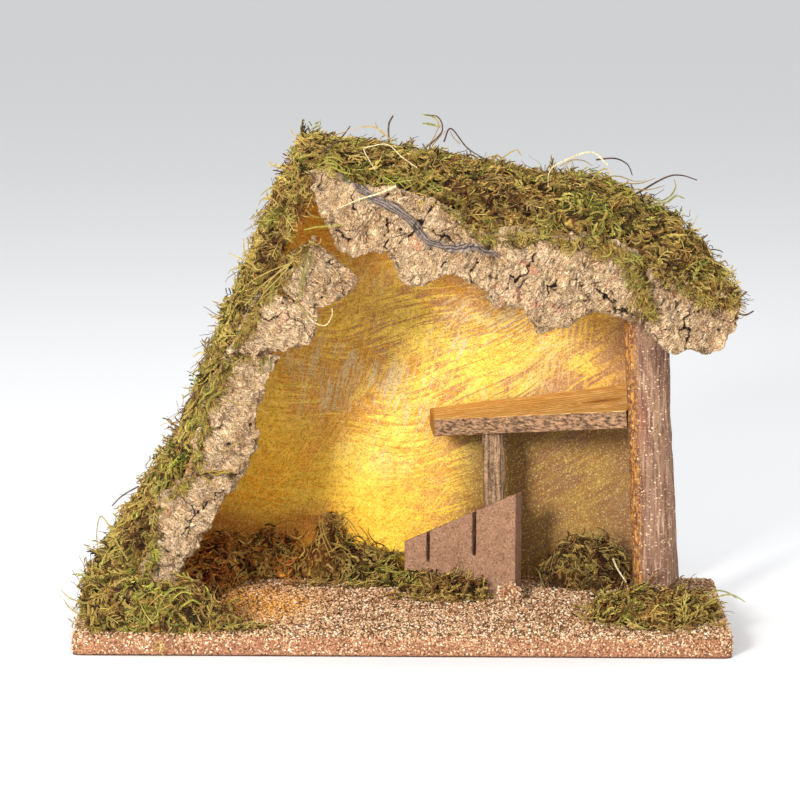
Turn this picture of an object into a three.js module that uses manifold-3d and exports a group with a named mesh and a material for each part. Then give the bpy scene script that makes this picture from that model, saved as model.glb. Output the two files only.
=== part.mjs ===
// Nativity stable: two roof boards and a back panel on a gritted base, with a round post,
// a small loft over a stall, a slit fence, slabs of cork bark on the front edges and clumps of moss.
// Millimetres, +Z up. The origin is the centre of the base's underside, +X is to the right of
// someone who looks in, and the open front faces -Y.
import * as THREE from 'three';
import { mergeVertices } from 'three/addons/utils/BufferGeometryUtils.js';
import Module from 'manifold-3d';

const wasm = await Module();
wasm.setup();

// Clearances
const FIT_GAP = 0.3; // between glued faces that aren't level, and round a fastener
const GRIT_GAP = 0.6; // between the grit and what stands in it
const CLUMP_GAP = 0.8; // between neighbouring clumps of moss

// Base
const BASE_WIDTH = 356;
const BASE_DEPTH = 178;
const BASE_THICK = 10.5;
const BASE_CORNER = 5;
const GRIT_THICK = 1.5;
const GRIT_RELIEF = 0.9; // of the hollows between its granules
const GRIT_GRAIN = 7; // between its larger granules
const GRIT_INSET = 0.8; // of the grit's edge from the base's edge

// Roof boards, seen from the front: the left one stands steeply, the right one lies on its end
const LEFT_FOOT_X = -150; // outer face of the left board on the base
const RIDGE_X = -58;
const RIDGE_Z = 256;
const LEFT_THICK = 7;
const RIGHT_THICK = 7;
const RIGHT_SLOPE = 12; // degrees
const RIGHT_LENGTH = 215; // along its upper face
const ROOF_DEPTH = 134; // of both boards, from the back panel

// Back panel
const PANEL_THICK = 4;
const PANEL_INSET = 1.2; // of its edges from the roof boards' outer faces
const PANEL_LIFT = 1; // of its lower edge from the table
const PANEL_RIGHT_X = 148;

// Round post: a cut branch that leans a little to the left
const POST_RADIUS = 12.7;
const POST_FOOT_X = 142;
const POST_TOP_X = 132;
const POST_AHEAD = 83; // of the back panel
const POST_SIDES = 18;
const POST_RINGS = 9;

// Loft board, tilted up to the right, its front edge slanting forward to the post
const LOFT_THICK = 10;
const LOFT_LEFT_X = 15;
const LOFT_END_SLANT = 2; // of its left end, to the right at the front
const LOFT_RIGHT_X = 146;
const LOFT_LEFT_DEPTH = 39; // from the back panel
const LOFT_CORNER_X = 124; // front right corner, against the post
const LOFT_RIGHT_DEPTH = 84;
const LOFT_TOP_Z = 110; // of its upper face at its back left corner
const LOFT_RISE_RIGHT = 0.127; // of height for each mm to the right
const LOFT_RISE_BACK = 0.033; // of height for each mm to the back

// Stall post: a small sawn stick
const STICK_SIDE = 11.8;
const STICK_X = 53.5; // centre on the base
const STICK_AHEAD = 39; // of the back panel
const STICK_LEAN = -3; // of its top to the left
const STICK_CHAMFER = 2;

// Stall fence
const FENCE_LEFT_X = 0.7; // front left corner
const FENCE_AHEAD = 39; // of the back panel, at that corner
const FENCE_TURN = 22.6; // degrees, right end to the front
const FENCE_LENGTH = 67.5;
const FENCE_THICK = 10;
const FENCE_LEFT_Z = 39; // of its top edge
const FENCE_RIGHT_Z = 71;
const SLIT_WIDTH = 2.2;
const SLIT_PLACES = [14.5, 42.5]; // from the left end
const SLIT_DEPTHS = [18, 25.5];

// Cork bark
const BARK_THICK = 11;
const BARK_RELIEF = 2.3;

// Cork bark outlines, in the roof boards' own measures. On the right: the way down the slope from the
// ridge and the drop below the board's upper face. On the left: the way up the slope from the foot
// and the inset from the board's outer face.
const RIGHT_BARK_UPPER = [
  [3, -3], [13, -7], [31, -3], [55, -6], [84, -1], [104, 8], [123, 1], [145, 1], [167, -4]
];
const RIGHT_BARK_LOWER = [
  [12, 8], [27, 31], [41, 36], [56, 29], [66, 42], [80, 45], [89, 34], [108, 37], [120, 46],
  [133, 44], [145, 55], [157, 50], [166, 41], [181, 38]
];
const RIGHT_BARK_END = { upper: [[-21, 4]], lower: [[-14, 39]] }; // past the right board's end
const EAVE_BARK_UPPER = [[-20, 5], [-1, 9], [11, 13], [23, 12], [33, 12]]; // past the end too
const EAVE_BARK_LOWER = [[-12.5, 44], [3, 51], [13, 47], [24, 48], [35, 25]];
const LEFT_FOOT_OUTER = [[4, 0], [44, -4], [64, -9], [90, 2]];
const LEFT_FOOT_INNER = [[11, 19], [45, 18], [76, 25], [99, 30]];
const LEFT_MIDDLE_OUTER = [[91, 2], [113, -1], [135, -6], [159, -1]];
const LEFT_MIDDLE_INNER = [[100.5, 30], [121, 31], [140, 24], [169, 27]];
const LEFT_STEP_OUTER = [[102, -1], [77, 1], [63, 5]]; // below the ridge, as the next three are
const LEFT_STEP_INNER = [[92, 27], [80, 40], [65, 36]];
const LEFT_TOP_OUTER = [[62, 5], [43, 10], [34, 14], [28, 21]];
const LEFT_TOP_INNER = [[64, 36], [54, 48], [42, 50], [35, 37]];
const BARK_STEP_MORE = 1; // of the eave's and the left top's thickness

// Moss on the boards: the thickness at each clump's start and end, along the board
const LEFT_MOSS_SEAMS = [[24, 0], [92, 2], [172, -3]]; // along the board, and each seam's slant
const LEFT_MOSS_SHORT = 6; // of the ridge
const RIGHT_MOSS_SEAMS = [[-4, 0], [70, 3], [140, -3]];
const RIGHT_MOSS_SHORT = 1; // of the board's end
const SIDE_MOSS_LOWER = [26, 10];
const SIDE_MOSS_MIDDLE = [9.5, 8];
const SIDE_MOSS_UPPER = [8, 5.5];
const RIDGE_MOSS = [14, 20];
const MIDDLE_MOSS = [20, 22];
const RIGHT_MOSS = [22, 13];
const RIGHT_MOSS_HUMP = 7;
const EAVE_MOSS = [10, 7];
const EAVE_MOSS_SLOPE = 49; // degrees
const EAVE_MOSS_LENGTH = 37;
const EAVE_MOSS_TAPER = 8; // of its lower edge at the back
const EAVE_MOSS_BACK = 12; // from the back panel
const MOSS_FRONT_GAP = 0.6; // from the boards' front edges, where the bark starts
const RIM_SHARE = 0.035; // of a pad's width that its steep rim takes

// Moss and loose grit on the ground
const SIDE_HEAP_HEIGHT = 17;
const SIDE_HEAP_INSET = 1.8; // from the base's left edge
const SIDE_HEAP_GAP = 2; // from the left board's foot
const SIDE_HEAP_BACK = 7; // from the back panel
const SIDE_HEAP_TAPER = 4; // of its outer rim at the back
const CORNER_HEAP_HALF_WIDTH = 44;
const CORNER_HEAP_HEIGHT = 27;
const CORNER_HEAP_RIGHT = 17; // of the left board's foot
const CORNER_HEAP_BACK = 2; // of its rim from the base's front edge
const WALL_LEFT_RIM = [[21, 82], [45, 71], [56, 30], [72, 16], [88, 12]]; // right of the left foot, ahead
// Right of the fence's left corner, and ahead of the panel
const WALL_MIDDLE_RIM = [[-61.5, 12], [-46, 20], [-31, 28], [-15, 36], [-5, 34]];
const WALL_RIM_SLANT = 2; // of the clumps' ends to the right at the wall
const FENCE_MOSS_RIM = [[0, 13], [18, 18], [36, 21], [54, 19]]; // along the fence, ahead of it
const FENCE_MOSS_END = 50; // along the fence, at its face
const WALL_LEFT_HEIGHT = 25;
const WALL_MIDDLE_HEIGHT = 18;
const WALL_TUFT_HEIGHT = 21; // of the tuft that leans on the wall, above the rest
const FENCE_MOSS_HEIGHT = 10;
const GRIT_HEAP = { halfWidth: 8.5, halfDepth: 7, height: 13 };
const GRIT_HEAP_AHEAD = 9; // of the fence's right end
const STALL_HEAP = { halfWidth: 27, halfDepth: 16, height: 28 };
const STALL_HEAP_LEFT = 20; // of the loft's front right corner
const STALL_HEAP_AHEAD = 29; // of the back panel
const POST_HEAP = { halfWidth: 38, halfDepth: 44, height: 12 };
const POST_HEAP_LEFT = 4; // of the post's foot
const POST_HEAP_AHEAD = 33;

// Fasteners
const BRAD_RADIUS = 0.7;
const BRAD_HEAD_RADIUS = 1.4;
const BRAD_HEAD_THICK = 0.8;
const BRAD_LENGTH = 15;
const BRAD_SIDES = 6;
const BASE_BRADS_X = [-132, -66, 0, 66, 132];
const LEFT_BRADS_Z = [62, 132, 202];
const RIGHT_BRADS_X = [-34, 20, 74, 128];
const LOFT_BRADS_X = [42, 108];
const SCREW_RADIUS = 2;
const SCREW_HEAD_RADIUS = 4;
const SCREW_SIDES = 10;
const POST_SCREW_LENGTH = 34;
const STICK_SCREW_LENGTH = 26;
const SCREW_SINK = 0.5; // of the head below the underside

// Values that follow from those above
const BACK_Y = BASE_DEPTH / 2;
const ROOF_FRONT = BACK_Y - ROOF_DEPTH;
const ROOF_MOSS_FRONT = ROOF_FRONT + MOSS_FRONT_GAP;
const BARK_FRONT = ROOF_FRONT - FIT_GAP - BARK_THICK - BARK_RELIEF;
const POST_Y = BACK_Y - POST_AHEAD;
const LOFT_CORNER_Y = BACK_Y - LOFT_RIGHT_DEPTH;
const STICK_Y = BACK_Y - STICK_AHEAD;
const FENCE_LEFT_Y = BACK_Y - FENCE_AHEAD;
const GROUND_Z = BASE_THICK + GRIT_THICK;
const LEFT_ANGLE = Math.atan2(RIDGE_Z - BASE_THICK, RIDGE_X - LEFT_FOOT_X);
const RIGHT_ANGLE = THREE.MathUtils.degToRad(RIGHT_SLOPE);
const LEFT_LENGTH = Math.hypot(RIDGE_Z - BASE_THICK, RIDGE_X - LEFT_FOOT_X);
const RIGHT_END_X = RIDGE_X + RIGHT_LENGTH * Math.cos(RIGHT_ANGLE);
const RIGHT_END_Z = RIDGE_Z - RIGHT_LENGTH * Math.sin(RIGHT_ANGLE);
const LEFT_SEAMS = [...LEFT_MOSS_SEAMS, [LEFT_LENGTH - LEFT_MOSS_SHORT, 0]];
const RIGHT_SEAMS = [...RIGHT_MOSS_SEAMS, [RIGHT_LENGTH - RIGHT_MOSS_SHORT, 0]];

// Finishes
const FINISH = {
  fibreboard: finish(0xa0643c, 0.9),
  grit: finish(0xc09a66, 0.95),
  paint: finish(0xd99a26, 0.7),
  roofboard: finish(0xa9743a, 0.85),
  cork: finish(0xa58d78, 0.95),
  postbark: finish(0x7d5a3c, 0.85),
  loftwood: finish(0x9c7340, 0.8),
  stick: finish(0x76553a, 0.85),
  fence: finish(0x85664a, 0.9),
  moss: finish(0x76773a, 1),
  steel: finish(0x9a9a98, 0.45, 0.9)
};

function finish(color, roughness, metalness = 0) {
  return new THREE.MeshStandardMaterial({ color, roughness, metalness });
}

// x of the left board's outer face at height z, moved inward by inset
function leftFaceX(z, inset = 0) {
  return LEFT_FOOT_X + (z - BASE_THICK) / Math.tan(LEFT_ANGLE) + inset / Math.sin(LEFT_ANGLE);
}

// z of the right board's upper face at x, moved inward by inset
function rightFaceZ(x, inset = 0) {
  return RIDGE_Z - (x - RIDGE_X) * Math.tan(RIGHT_ANGLE) - inset / Math.cos(RIGHT_ANGLE);
}

// Where the two roof lines meet, each moved inward by its own inset
function ridgePoint(leftInset, rightInset) {
  const run = 1 / Math.tan(LEFT_ANGLE);
  const fall = Math.tan(RIGHT_ANGLE);
  const level = RIDGE_Z + RIDGE_X * fall - rightInset / Math.cos(RIGHT_ANGLE) - BASE_THICK;
  const x = (LEFT_FOOT_X + run * level + leftInset / Math.sin(LEFT_ANGLE)) / (1 + run * fall);
  return [x, rightFaceZ(x, rightInset)];
}

// z of the loft's upper face
function loftTopZ(x, y) {
  return LOFT_TOP_Z + (x - LOFT_LEFT_X) * LOFT_RISE_RIGHT + (y - BACK_Y) * LOFT_RISE_BACK;
}

function shapeOf(points) {
  return new THREE.Shape(points.map(([x, y]) => new THREE.Vector2(x, y)));
}

// An outline in x and z, made into a board between two depths
function boardAlongY(points, frontY, backY) {
  const geometry = new THREE.ExtrudeGeometry(shapeOf(points), {
    depth: backY - frontY,
    bevelEnabled: false
  });
  geometry.rotateX(Math.PI / 2);
  geometry.translate(0, backY, 0);
  return geometry;
}

// An outline in x and y, made into a plate between two heights
function plateUp(shape, lowZ, highZ) {
  const geometry = new THREE.ExtrudeGeometry(shape, {
    depth: highZ - lowZ,
    bevelEnabled: false,
    curveSegments: 4
  });
  geometry.translate(0, 0, lowZ);
  return geometry;
}

function roundedRectangle(width, depth, corner) {
  const shape = new THREE.Shape();
  const x = width / 2;
  const y = depth / 2;
  shape.moveTo(corner - x, -y);
  shape.lineTo(x - corner, -y);
  shape.absarc(x - corner, corner - y, corner, -Math.PI / 2, 0);
  shape.lineTo(x, y - corner);
  shape.absarc(x - corner, y - corner, corner, 0, Math.PI / 2);
  shape.lineTo(corner - x, y);
  shape.absarc(corner - x, y - corner, corner, Math.PI / 2, Math.PI);
  shape.lineTo(-x, corner - y);
  shape.absarc(corner - x, corner - y, corner, Math.PI, Math.PI * 1.5);
  return shape;
}

// Booleans
function toSolid(geometry) {
  const bare = geometry.clone();
  bare.deleteAttribute('normal');
  bare.deleteAttribute('uv');
  const merged = mergeVertices(bare, 1e-4);
  return new wasm.Manifold(new wasm.Mesh({
    numProp: 3,
    vertProperties: new Float32Array(merged.attributes.position.array),
    triVerts: new Uint32Array(merged.index.array)
  }));
}

function fromSolid(solid) {
  const mesh = solid.getMesh();
  const geometry = new THREE.BufferGeometry();
  geometry.setAttribute('position', new THREE.BufferAttribute(mesh.vertProperties, 3));
  geometry.setIndex(new THREE.BufferAttribute(mesh.triVerts, 1));
  return geometry;
}

function cutAway(geometry, cutters) {
  let solid = toSolid(geometry);
  for (const cutter of cutters) {
    solid = solid.subtract(toSolid(cutter));
  }
  return fromSolid(solid);
}

function pieceOf(name, geometry, material) {
  const mesh = new THREE.Mesh(geometry, material);
  mesh.name = name;
  return mesh;
}

// A closed stack of rings that have the same number of points, flat or slanted at both ends
function ringStack(rings) {
  const sides = rings[0].length;
  const positions = [];
  const index = [];
  for (const ring of rings) {
    for (const point of ring) {
      positions.push(point.x, point.y, point.z);
    }
  }
  for (let level = 0; level < rings.length - 1; level++) {
    for (let side = 0; side < sides; side++) {
      const next = (side + 1) % sides;
      const low = level * sides;
      const high = low + sides;
      index.push(low + side, low + next, high + next);
      index.push(low + side, high + next, high + side);
    }
  }
  const last = (rings.length - 1) * sides;
  for (let side = 1; side < sides - 1; side++) {
    index.push(0, side + 1, side);
    index.push(last, last + side, last + side + 1);
  }
  return indexedGeometry(positions, index);
}

function indexedGeometry(positions, index) {
  const geometry = new THREE.BufferGeometry();
  geometry.setAttribute('position', new THREE.Float32BufferAttribute(positions, 3));
  geometry.setIndex(index);
  return geometry;
}

// Steps from 0 to 1 with a narrow one at each end, for a pad's steep rim
function rimSteps(count) {
  const steps = [0];
  for (let step = 0; step <= count; step++) {
    steps.push(RIM_SHARE + (1 - 2 * RIM_SHARE) * step / count);
  }
  steps.push(1);
  return steps;
}

// A closed pad on a flat underside at z = 0. place(t, v) gives a point of its plan, with t and v
// from 0 to 1, and rise(point, t, v) gives the height of its skin there. The rim lies at z = 0.
function padGeometry(columns, rows, place, rise) {
  const ts = rimSteps(columns);
  const vs = rimSteps(rows);
  const across = ts.length;
  const positions = [];
  vs.forEach((v, row) => {
    ts.forEach((t, column) => {
      const point = place(t, v);
      const onRim = row === 0 || column === 0 || row === vs.length - 1 || column === across - 1;
      positions.push(point.x, point.y, onRim ? 0 : rise(point, t, v));
    });
  });
  const index = [];
  const addFace = (a, b, c) => index.push(a, b, c);
  for (let row = 0; row < vs.length - 1; row++) {
    for (let column = 0; column < across - 1; column++) {
      const corner = row * across + column;
      addFace(corner, corner + 1, corner + across + 1);
      addFace(corner, corner + across + 1, corner + across);
    }
  }
  // The underside runs in strips from the front rim to the back rim, with a fan at each end
  const lastRow = (vs.length - 1) * across;
  for (let column = 1; column < across - 2; column++) {
    addFace(column, lastRow + column + 1, column + 1);
    addFace(column, lastRow + column, lastRow + column + 1);
  }
  for (let row = 0; row < vs.length - 1; row++) {
    const start = row * across;
    const end = start + across - 1;
    addFace(1, start, start + across);
    addFace(across - 2, end + across, end);
  }
  addFace(1, lastRow, lastRow + 1);
  addFace(across - 2, lastRow + across - 2, lastRow + across - 1);
  return facingOut(indexedGeometry(positions, index));
}

// Turns all faces over if the body's volume comes out negative
function facingOut(geometry) {
  const position = geometry.attributes.position;
  const index = geometry.index;
  const corners = [new THREE.Vector3(), new THREE.Vector3(), new THREE.Vector3()];
  let volume = 0;
  for (let face = 0; face < index.count; face += 3) {
    corners.forEach((corner, side) => corner.fromBufferAttribute(position, index.getX(face + side)));
    volume += corners[0].dot(corners[1].clone().cross(corners[2]));
  }
  if (volume < 0) {
    for (let face = 0; face < index.count; face += 3) {
      const second = index.getX(face + 1);
      index.setX(face + 1, index.getX(face + 2));
      index.setX(face + 2, second);
    }
  }
  return geometry;
}

// A plan between two edges, each a smooth curve through a few points
function betweenEdges(firstEdge, secondEdge) {
  const first = new THREE.SplineCurve(firstEdge.map(([x, y]) => new THREE.Vector2(x, y)));
  const second = new THREE.SplineCurve(secondEdge.map(([x, y]) => new THREE.Vector2(x, y)));
  return (t, v) => first.getPoint(t).lerp(second.getPoint(t), v);
}

// A round plan with an uneven rim
function roundPlan(centreX, centreY, halfWidth, halfDepth) {
  return (t, v) => {
    const a = 2 * t - 1;
    const b = 2 * v - 1;
    const x = a * Math.sqrt(1 - b * b / 2);
    const y = b * Math.sqrt(1 - a * a / 2);
    const uneven = 1 - 0.06 * (1 + Math.sin(5 * Math.atan2(y, x) + centreX));
    return new THREE.Vector2(centreX + halfWidth * x * uneven, centreY + halfDepth * y * uneven);
  };
}

// Lumps of moss, from about -1 to 1
function mossLumps(x, y) {
  const broad = Math.sin(x * 0.19 + y * 0.07) * Math.cos(y * 0.21 - x * 0.05);
  const small = Math.sin(x * 0.43 - y * 0.31) * Math.sin(y * 0.47 + x * 0.13 + 1);
  return 0.65 * broad + 0.35 * small;
}

// Ridges and clefts of cork bark, from about -1 to 1, with clefts running down the slab
function corkRelief(x, z) {
  const plates = Math.sin(x * 0.34 + 1.7 * Math.sin(z * 0.16)) * Math.cos(z * 0.29 - x * 0.11);
  const clefts = 1 - 2 * Math.pow(Math.abs(Math.sin(x * 0.115 + 0.9 * Math.sin(z * 0.07))), 0.5);
  return 0.7 * plates - 0.3 * clefts;
}

// Base and grit
function baseBoard() {
  const board = plateUp(roundedRectangle(BASE_WIDTH, BASE_DEPTH, BASE_CORNER), 0, BASE_THICK);
  const cutters = [
    screwCutter(POST_FOOT_X, POST_Y, BASE_THICK + 1),
    screwCutter(STICK_X, STICK_Y, BASE_THICK + 1),
    ...bradCutters(BASE_BRADS)
  ];
  return cutAway(board, cutters);
}

// A value from 0 to 1 that jumps about from place to place
function scattered(x, y) {
  const value = Math.sin(x * 12.9898 + y * 78.233) * 43758.5453;
  return value - Math.floor(value);
}

// A block with granules and hollows all over its upper face
function gritCrust(width, depth) {
  const columns = Math.round(width / GRIT_GRAIN);
  const rows = Math.round(depth / GRIT_GRAIN);
  const crust = new THREE.BoxGeometry(width, depth, 2 * GRIT_THICK, columns, rows, 1);
  const position = crust.attributes.position;
  for (let vertex = 0; vertex < position.count; vertex++) {
    if (position.getZ(vertex) > 0) {
      const x = Math.round(position.getX(vertex) / width * columns);
      const y = Math.round(position.getY(vertex) / depth * rows);
      const inside = Math.abs(x) < columns / 2 - 1 && Math.abs(y) < rows / 2 - 1;
      const stray = inside ? 0.55 * GRIT_GRAIN : 0;
      const moved = new THREE.Vector3(
        position.getX(vertex) + stray * (scattered(x + 0.3, y) - 0.5),
        position.getY(vertex) + stray * (scattered(x, y + 0.7) - 0.5),
        position.getZ(vertex) - GRIT_RELIEF * scattered(x, y));
      position.setXYZ(vertex, moved.x, moved.y, moved.z);
    }
  }
  crust.translate(0, 0, GROUND_Z - GRIT_THICK);
  return crust;
}

// The grit is glued round what stands on the board, so the feet reach through it
function groundGrit() {
  const width = BASE_WIDTH - 2 * GRIT_INSET;
  const depth = BASE_DEPTH - 2 * GRIT_INSET;
  const layer = plateUp(roundedRectangle(width, depth, BASE_CORNER), BASE_THICK, GROUND_Z);
  const crust = toSolid(gritCrust(BASE_WIDTH, BASE_DEPTH)).intersect(toSolid(layer));
  const feet = [leftFootCutter(), postFootCutter(), stickFootCutter(), fenceFootCutter()];
  return cutAway(fromSolid(crust), feet);
}

function boxBetween(low, high) {
  const size = new THREE.Vector3().subVectors(high, low);
  const geometry = new THREE.BoxGeometry(size.x, size.y, size.z);
  geometry.translate(low.x + size.x / 2, low.y + size.y / 2, low.z + size.z / 2);
  return geometry;
}

function leftFootCutter() {
  const low = new THREE.Vector3(leftFaceX(BASE_THICK) - GRIT_GAP, ROOF_FRONT - GRIT_GAP, 0);
  const high = new THREE.Vector3(
    leftFaceX(GROUND_Z, LEFT_THICK) + GRIT_GAP, BASE_DEPTH, GROUND_Z + 1);
  return boxBetween(low, high);
}

function postFootCutter() {
  const radius = POST_RADIUS + GRIT_GAP;
  const cutter = new THREE.CylinderGeometry(radius, radius, 2 * GROUND_Z, POST_SIDES);
  cutter.rotateX(Math.PI / 2);
  cutter.translate(POST_FOOT_X, POST_Y, GROUND_Z);
  return cutter;
}

function stickFootCutter() {
  const half = STICK_SIDE / 2 + GRIT_GAP;
  const low = new THREE.Vector3(STICK_X - half, STICK_Y - half, 0);
  const high = new THREE.Vector3(STICK_X + half, STICK_Y + half, GROUND_Z + 1);
  return boxBetween(low, high);
}

function fenceFootCutter() {
  const low = new THREE.Vector3(-GRIT_GAP, -GRIT_GAP, 0);
  const high = new THREE.Vector3(
    FENCE_LENGTH + GRIT_GAP, FENCE_THICK + GRIT_GAP, GROUND_Z + 1);
  return inFencePlace(boxBetween(low, high));
}

// Roof boards and back panel
function leftRoofBoard() {
  const lap = RIGHT_THICK + FIT_GAP;
  const outline = [
    [leftFaceX(BASE_THICK), BASE_THICK],
    [leftFaceX(BASE_THICK, LEFT_THICK), BASE_THICK],
    ridgePoint(LEFT_THICK, lap),
    ridgePoint(0, lap)
  ];
  const board = boardAlongY(outline, ROOF_FRONT, BACK_Y);
  return cutAway(board, bradCutters(LEFT_BRADS));
}

function rightRoofBoard() {
  const dropX = RIGHT_THICK * Math.sin(RIGHT_ANGLE);
  const dropZ = RIGHT_THICK * Math.cos(RIGHT_ANGLE);
  const outline = [
    ridgePoint(0, 0),
    ridgePoint(0, RIGHT_THICK),
    [RIGHT_END_X - dropX, RIGHT_END_Z - dropZ],
    [RIGHT_END_X, RIGHT_END_Z]
  ];
  const board = boardAlongY(outline, ROOF_FRONT, BACK_Y);
  return cutAway(board, bradCutters(RIGHT_BRADS));
}

function backPanel() {
  const leftX = leftFaceX(BASE_THICK, PANEL_INSET);
  const outline = [
    [leftX, PANEL_LIFT],
    [PANEL_RIGHT_X, PANEL_LIFT],
    [PANEL_RIGHT_X, rightFaceZ(PANEL_RIGHT_X, PANEL_INSET)],
    ridgePoint(PANEL_INSET, PANEL_INSET),
    [leftX, BASE_THICK]
  ];
  const panel = boardAlongY(outline, BACK_Y, BACK_Y + PANEL_THICK);
  return cutAway(panel, bradCutters([...BASE_BRADS, ...LEFT_BRADS, ...RIGHT_BRADS, ...LOFT_BRADS]));
}

// Round post, with low swellings like a cut branch's, from the base to the roof board's underside
function postRings(grow, topClearance) {
  const rings = [];
  for (let level = 0; level <= POST_RINGS; level++) {
    const share = level / POST_RINGS;
    const centreX = THREE.MathUtils.lerp(POST_FOOT_X, POST_TOP_X, share);
    const ring = [];
    for (let side = 0; side < POST_SIDES; side++) {
      const angle = 2 * Math.PI * side / POST_SIDES;
      const swell = 0.25 * Math.sin(share * 9 + angle * 2) + 0.15 * Math.cos(share * 17 - angle * 3);
      const radius = POST_RADIUS + grow + swell - 0.3 * share;
      const x = centreX + radius * Math.cos(angle);
      const y = POST_Y + radius * Math.sin(angle);
      const top = rightFaceZ(x, RIGHT_THICK + topClearance);
      ring.push(new THREE.Vector3(x, y, THREE.MathUtils.lerp(BASE_THICK, top, share)));
    }
    rings.push(ring);
  }
  return rings;
}

function roundPost() {
  const hole = screwCutter(POST_FOOT_X, POST_Y, POST_SCREW_LENGTH + 1);
  return cutAway(ringStack(postRings(0, FIT_GAP)), [hole]);
}

// Stall post, a square stick with one corner left waney, cut to the loft's underside
function stallPost() {
  const half = STICK_SIDE / 2;
  const section = [
    [-half, -half],
    [half - STICK_CHAMFER, -half],
    [half, STICK_CHAMFER - half],
    [half, half],
    [-half, half]
  ];
  const ringAt = (share) => section.map(([dx, dy]) => {
    const x = STICK_X + dx + STICK_LEAN * share;
    const y = STICK_Y + dy;
    const top = loftTopZ(x, y) - LOFT_THICK - FIT_GAP;
    return new THREE.Vector3(x, y, THREE.MathUtils.lerp(BASE_THICK, top, share));
  });
  const hole = screwCutter(STICK_X, STICK_Y, STICK_SCREW_LENGTH + 1);
  return cutAway(ringStack([ringAt(0), ringAt(0.5), ringAt(1)]), [hole]);
}

// Loft board, notched round the post
function loftBoard() {
  const outline = [
    [LOFT_LEFT_X, BACK_Y - FIT_GAP],
    [LOFT_LEFT_X + LOFT_END_SLANT, BACK_Y - LOFT_LEFT_DEPTH],
    [LOFT_CORNER_X, LOFT_CORNER_Y],
    [LOFT_RIGHT_X, LOFT_CORNER_Y],
    [LOFT_RIGHT_X, BACK_Y - FIT_GAP]
  ];
  const board = plateUp(shapeOf(outline), -LOFT_THICK, 0);
  const position = board.attributes.position;
  for (let vertex = 0; vertex < position.count; vertex++) {
    const lift = loftTopZ(position.getX(vertex), position.getY(vertex));
    position.setZ(vertex, position.getZ(vertex) + lift);
  }
  const notch = ringStack(postRings(FIT_GAP, FIT_GAP));
  return largestBody(cutAway(board, [notch, ...bradCutters(LOFT_BRADS)]));
}

// Keeps the largest body of a cut piece, as a saw leaves its offcuts behind
function largestBody(geometry) {
  const bodies = toSolid(geometry).decompose();
  bodies.sort((a, b) => b.volume() - a.volume());
  return fromSolid(bodies[0]);
}

// Fence board with slits sawn down from its sloping top edge
function inFencePlace(geometry) {
  geometry.rotateZ(-THREE.MathUtils.degToRad(FENCE_TURN));
  geometry.translate(FENCE_LEFT_X, FENCE_LEFT_Y, 0);
  return geometry;
}

function stallFence() {
  const topAt = (x) => FENCE_LEFT_Z + (FENCE_RIGHT_Z - FENCE_LEFT_Z) * x / FENCE_LENGTH;
  const outline = [[FENCE_LENGTH, BASE_THICK], [FENCE_LENGTH, FENCE_RIGHT_Z]];
  for (let slit = SLIT_PLACES.length - 1; slit >= 0; slit--) {
    const left = SLIT_PLACES[slit] - SLIT_WIDTH / 2;
    const right = SLIT_PLACES[slit] + SLIT_WIDTH / 2;
    const bottom = topAt(SLIT_PLACES[slit]) - SLIT_DEPTHS[slit];
    outline.push([right, topAt(right)], [right, bottom], [left, bottom], [left, topAt(left)]);
  }
  outline.push([0, FENCE_LEFT_Z], [0, BASE_THICK]);
  return inFencePlace(boardAlongY(outline, 0, FENCE_THICK));
}

// Cork bark, glued on the roof boards' front edges. An outline is two edges in x and z.
function barkSlab(columns, rows, outerEdge, innerEdge, thick) {
  const rise = (point, t, v) => {
    const bulge = 0.82 + 0.18 * Math.sin(Math.PI * v);
    return thick * bulge + BARK_RELIEF * corkRelief(point.x, point.y);
  };
  const geometry = padGeometry(columns, rows, betweenEdges(outerEdge, innerEdge), rise);
  geometry.rotateX(Math.PI / 2);
  geometry.translate(0, ROOF_FRONT - FIT_GAP, 0);
  return geometry;
}

// A point of the right roof's front, by its way down the slope and its drop below the upper face
function onRight([along, drop]) {
  const x = RIDGE_X + along * Math.cos(RIGHT_ANGLE) - drop * Math.sin(RIGHT_ANGLE);
  const z = RIDGE_Z - along * Math.sin(RIGHT_ANGLE) - drop * Math.cos(RIGHT_ANGLE);
  return [x, z];
}

// A point of the left roof's front, by its way up the slope and its inset from the outer face
function onLeft([along, inset]) {
  const x = LEFT_FOOT_X + along * Math.cos(LEFT_ANGLE) + inset * Math.sin(LEFT_ANGLE);
  const z = BASE_THICK + along * Math.sin(LEFT_ANGLE) - inset * Math.cos(LEFT_ANGLE);
  return [x, z];
}

function belowRidge(points) {
  return points.map(([below, inset]) => [LEFT_LENGTH - below, inset]);
}

function pastEnd(points) {
  return points.map(([past, drop]) => [RIGHT_LENGTH + past, drop]);
}

function rightBark() {
  const upper = [...RIGHT_BARK_UPPER, ...pastEnd(RIGHT_BARK_END.upper)];
  const lower = [...RIGHT_BARK_LOWER, ...pastEnd(RIGHT_BARK_END.lower)];
  return barkSlab(54, 9, upper.map(onRight), lower.map(onRight), BARK_THICK);
}

function eaveBark() {
  const upper = pastEnd(EAVE_BARK_UPPER).map(onRight);
  const lower = pastEnd(EAVE_BARK_LOWER).map(onRight);
  return barkSlab(16, 8, upper, lower, BARK_THICK + BARK_STEP_MORE);
}

function leftBarkFoot() {
  return barkSlab(20, 7, LEFT_FOOT_OUTER.map(onLeft), LEFT_FOOT_INNER.map(onLeft), BARK_THICK);
}

function leftBarkMiddle() {
  const thick = BARK_THICK - 2 * BARK_STEP_MORE;
  return barkSlab(16, 7, LEFT_MIDDLE_OUTER.map(onLeft), LEFT_MIDDLE_INNER.map(onLeft), thick);
}

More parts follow.
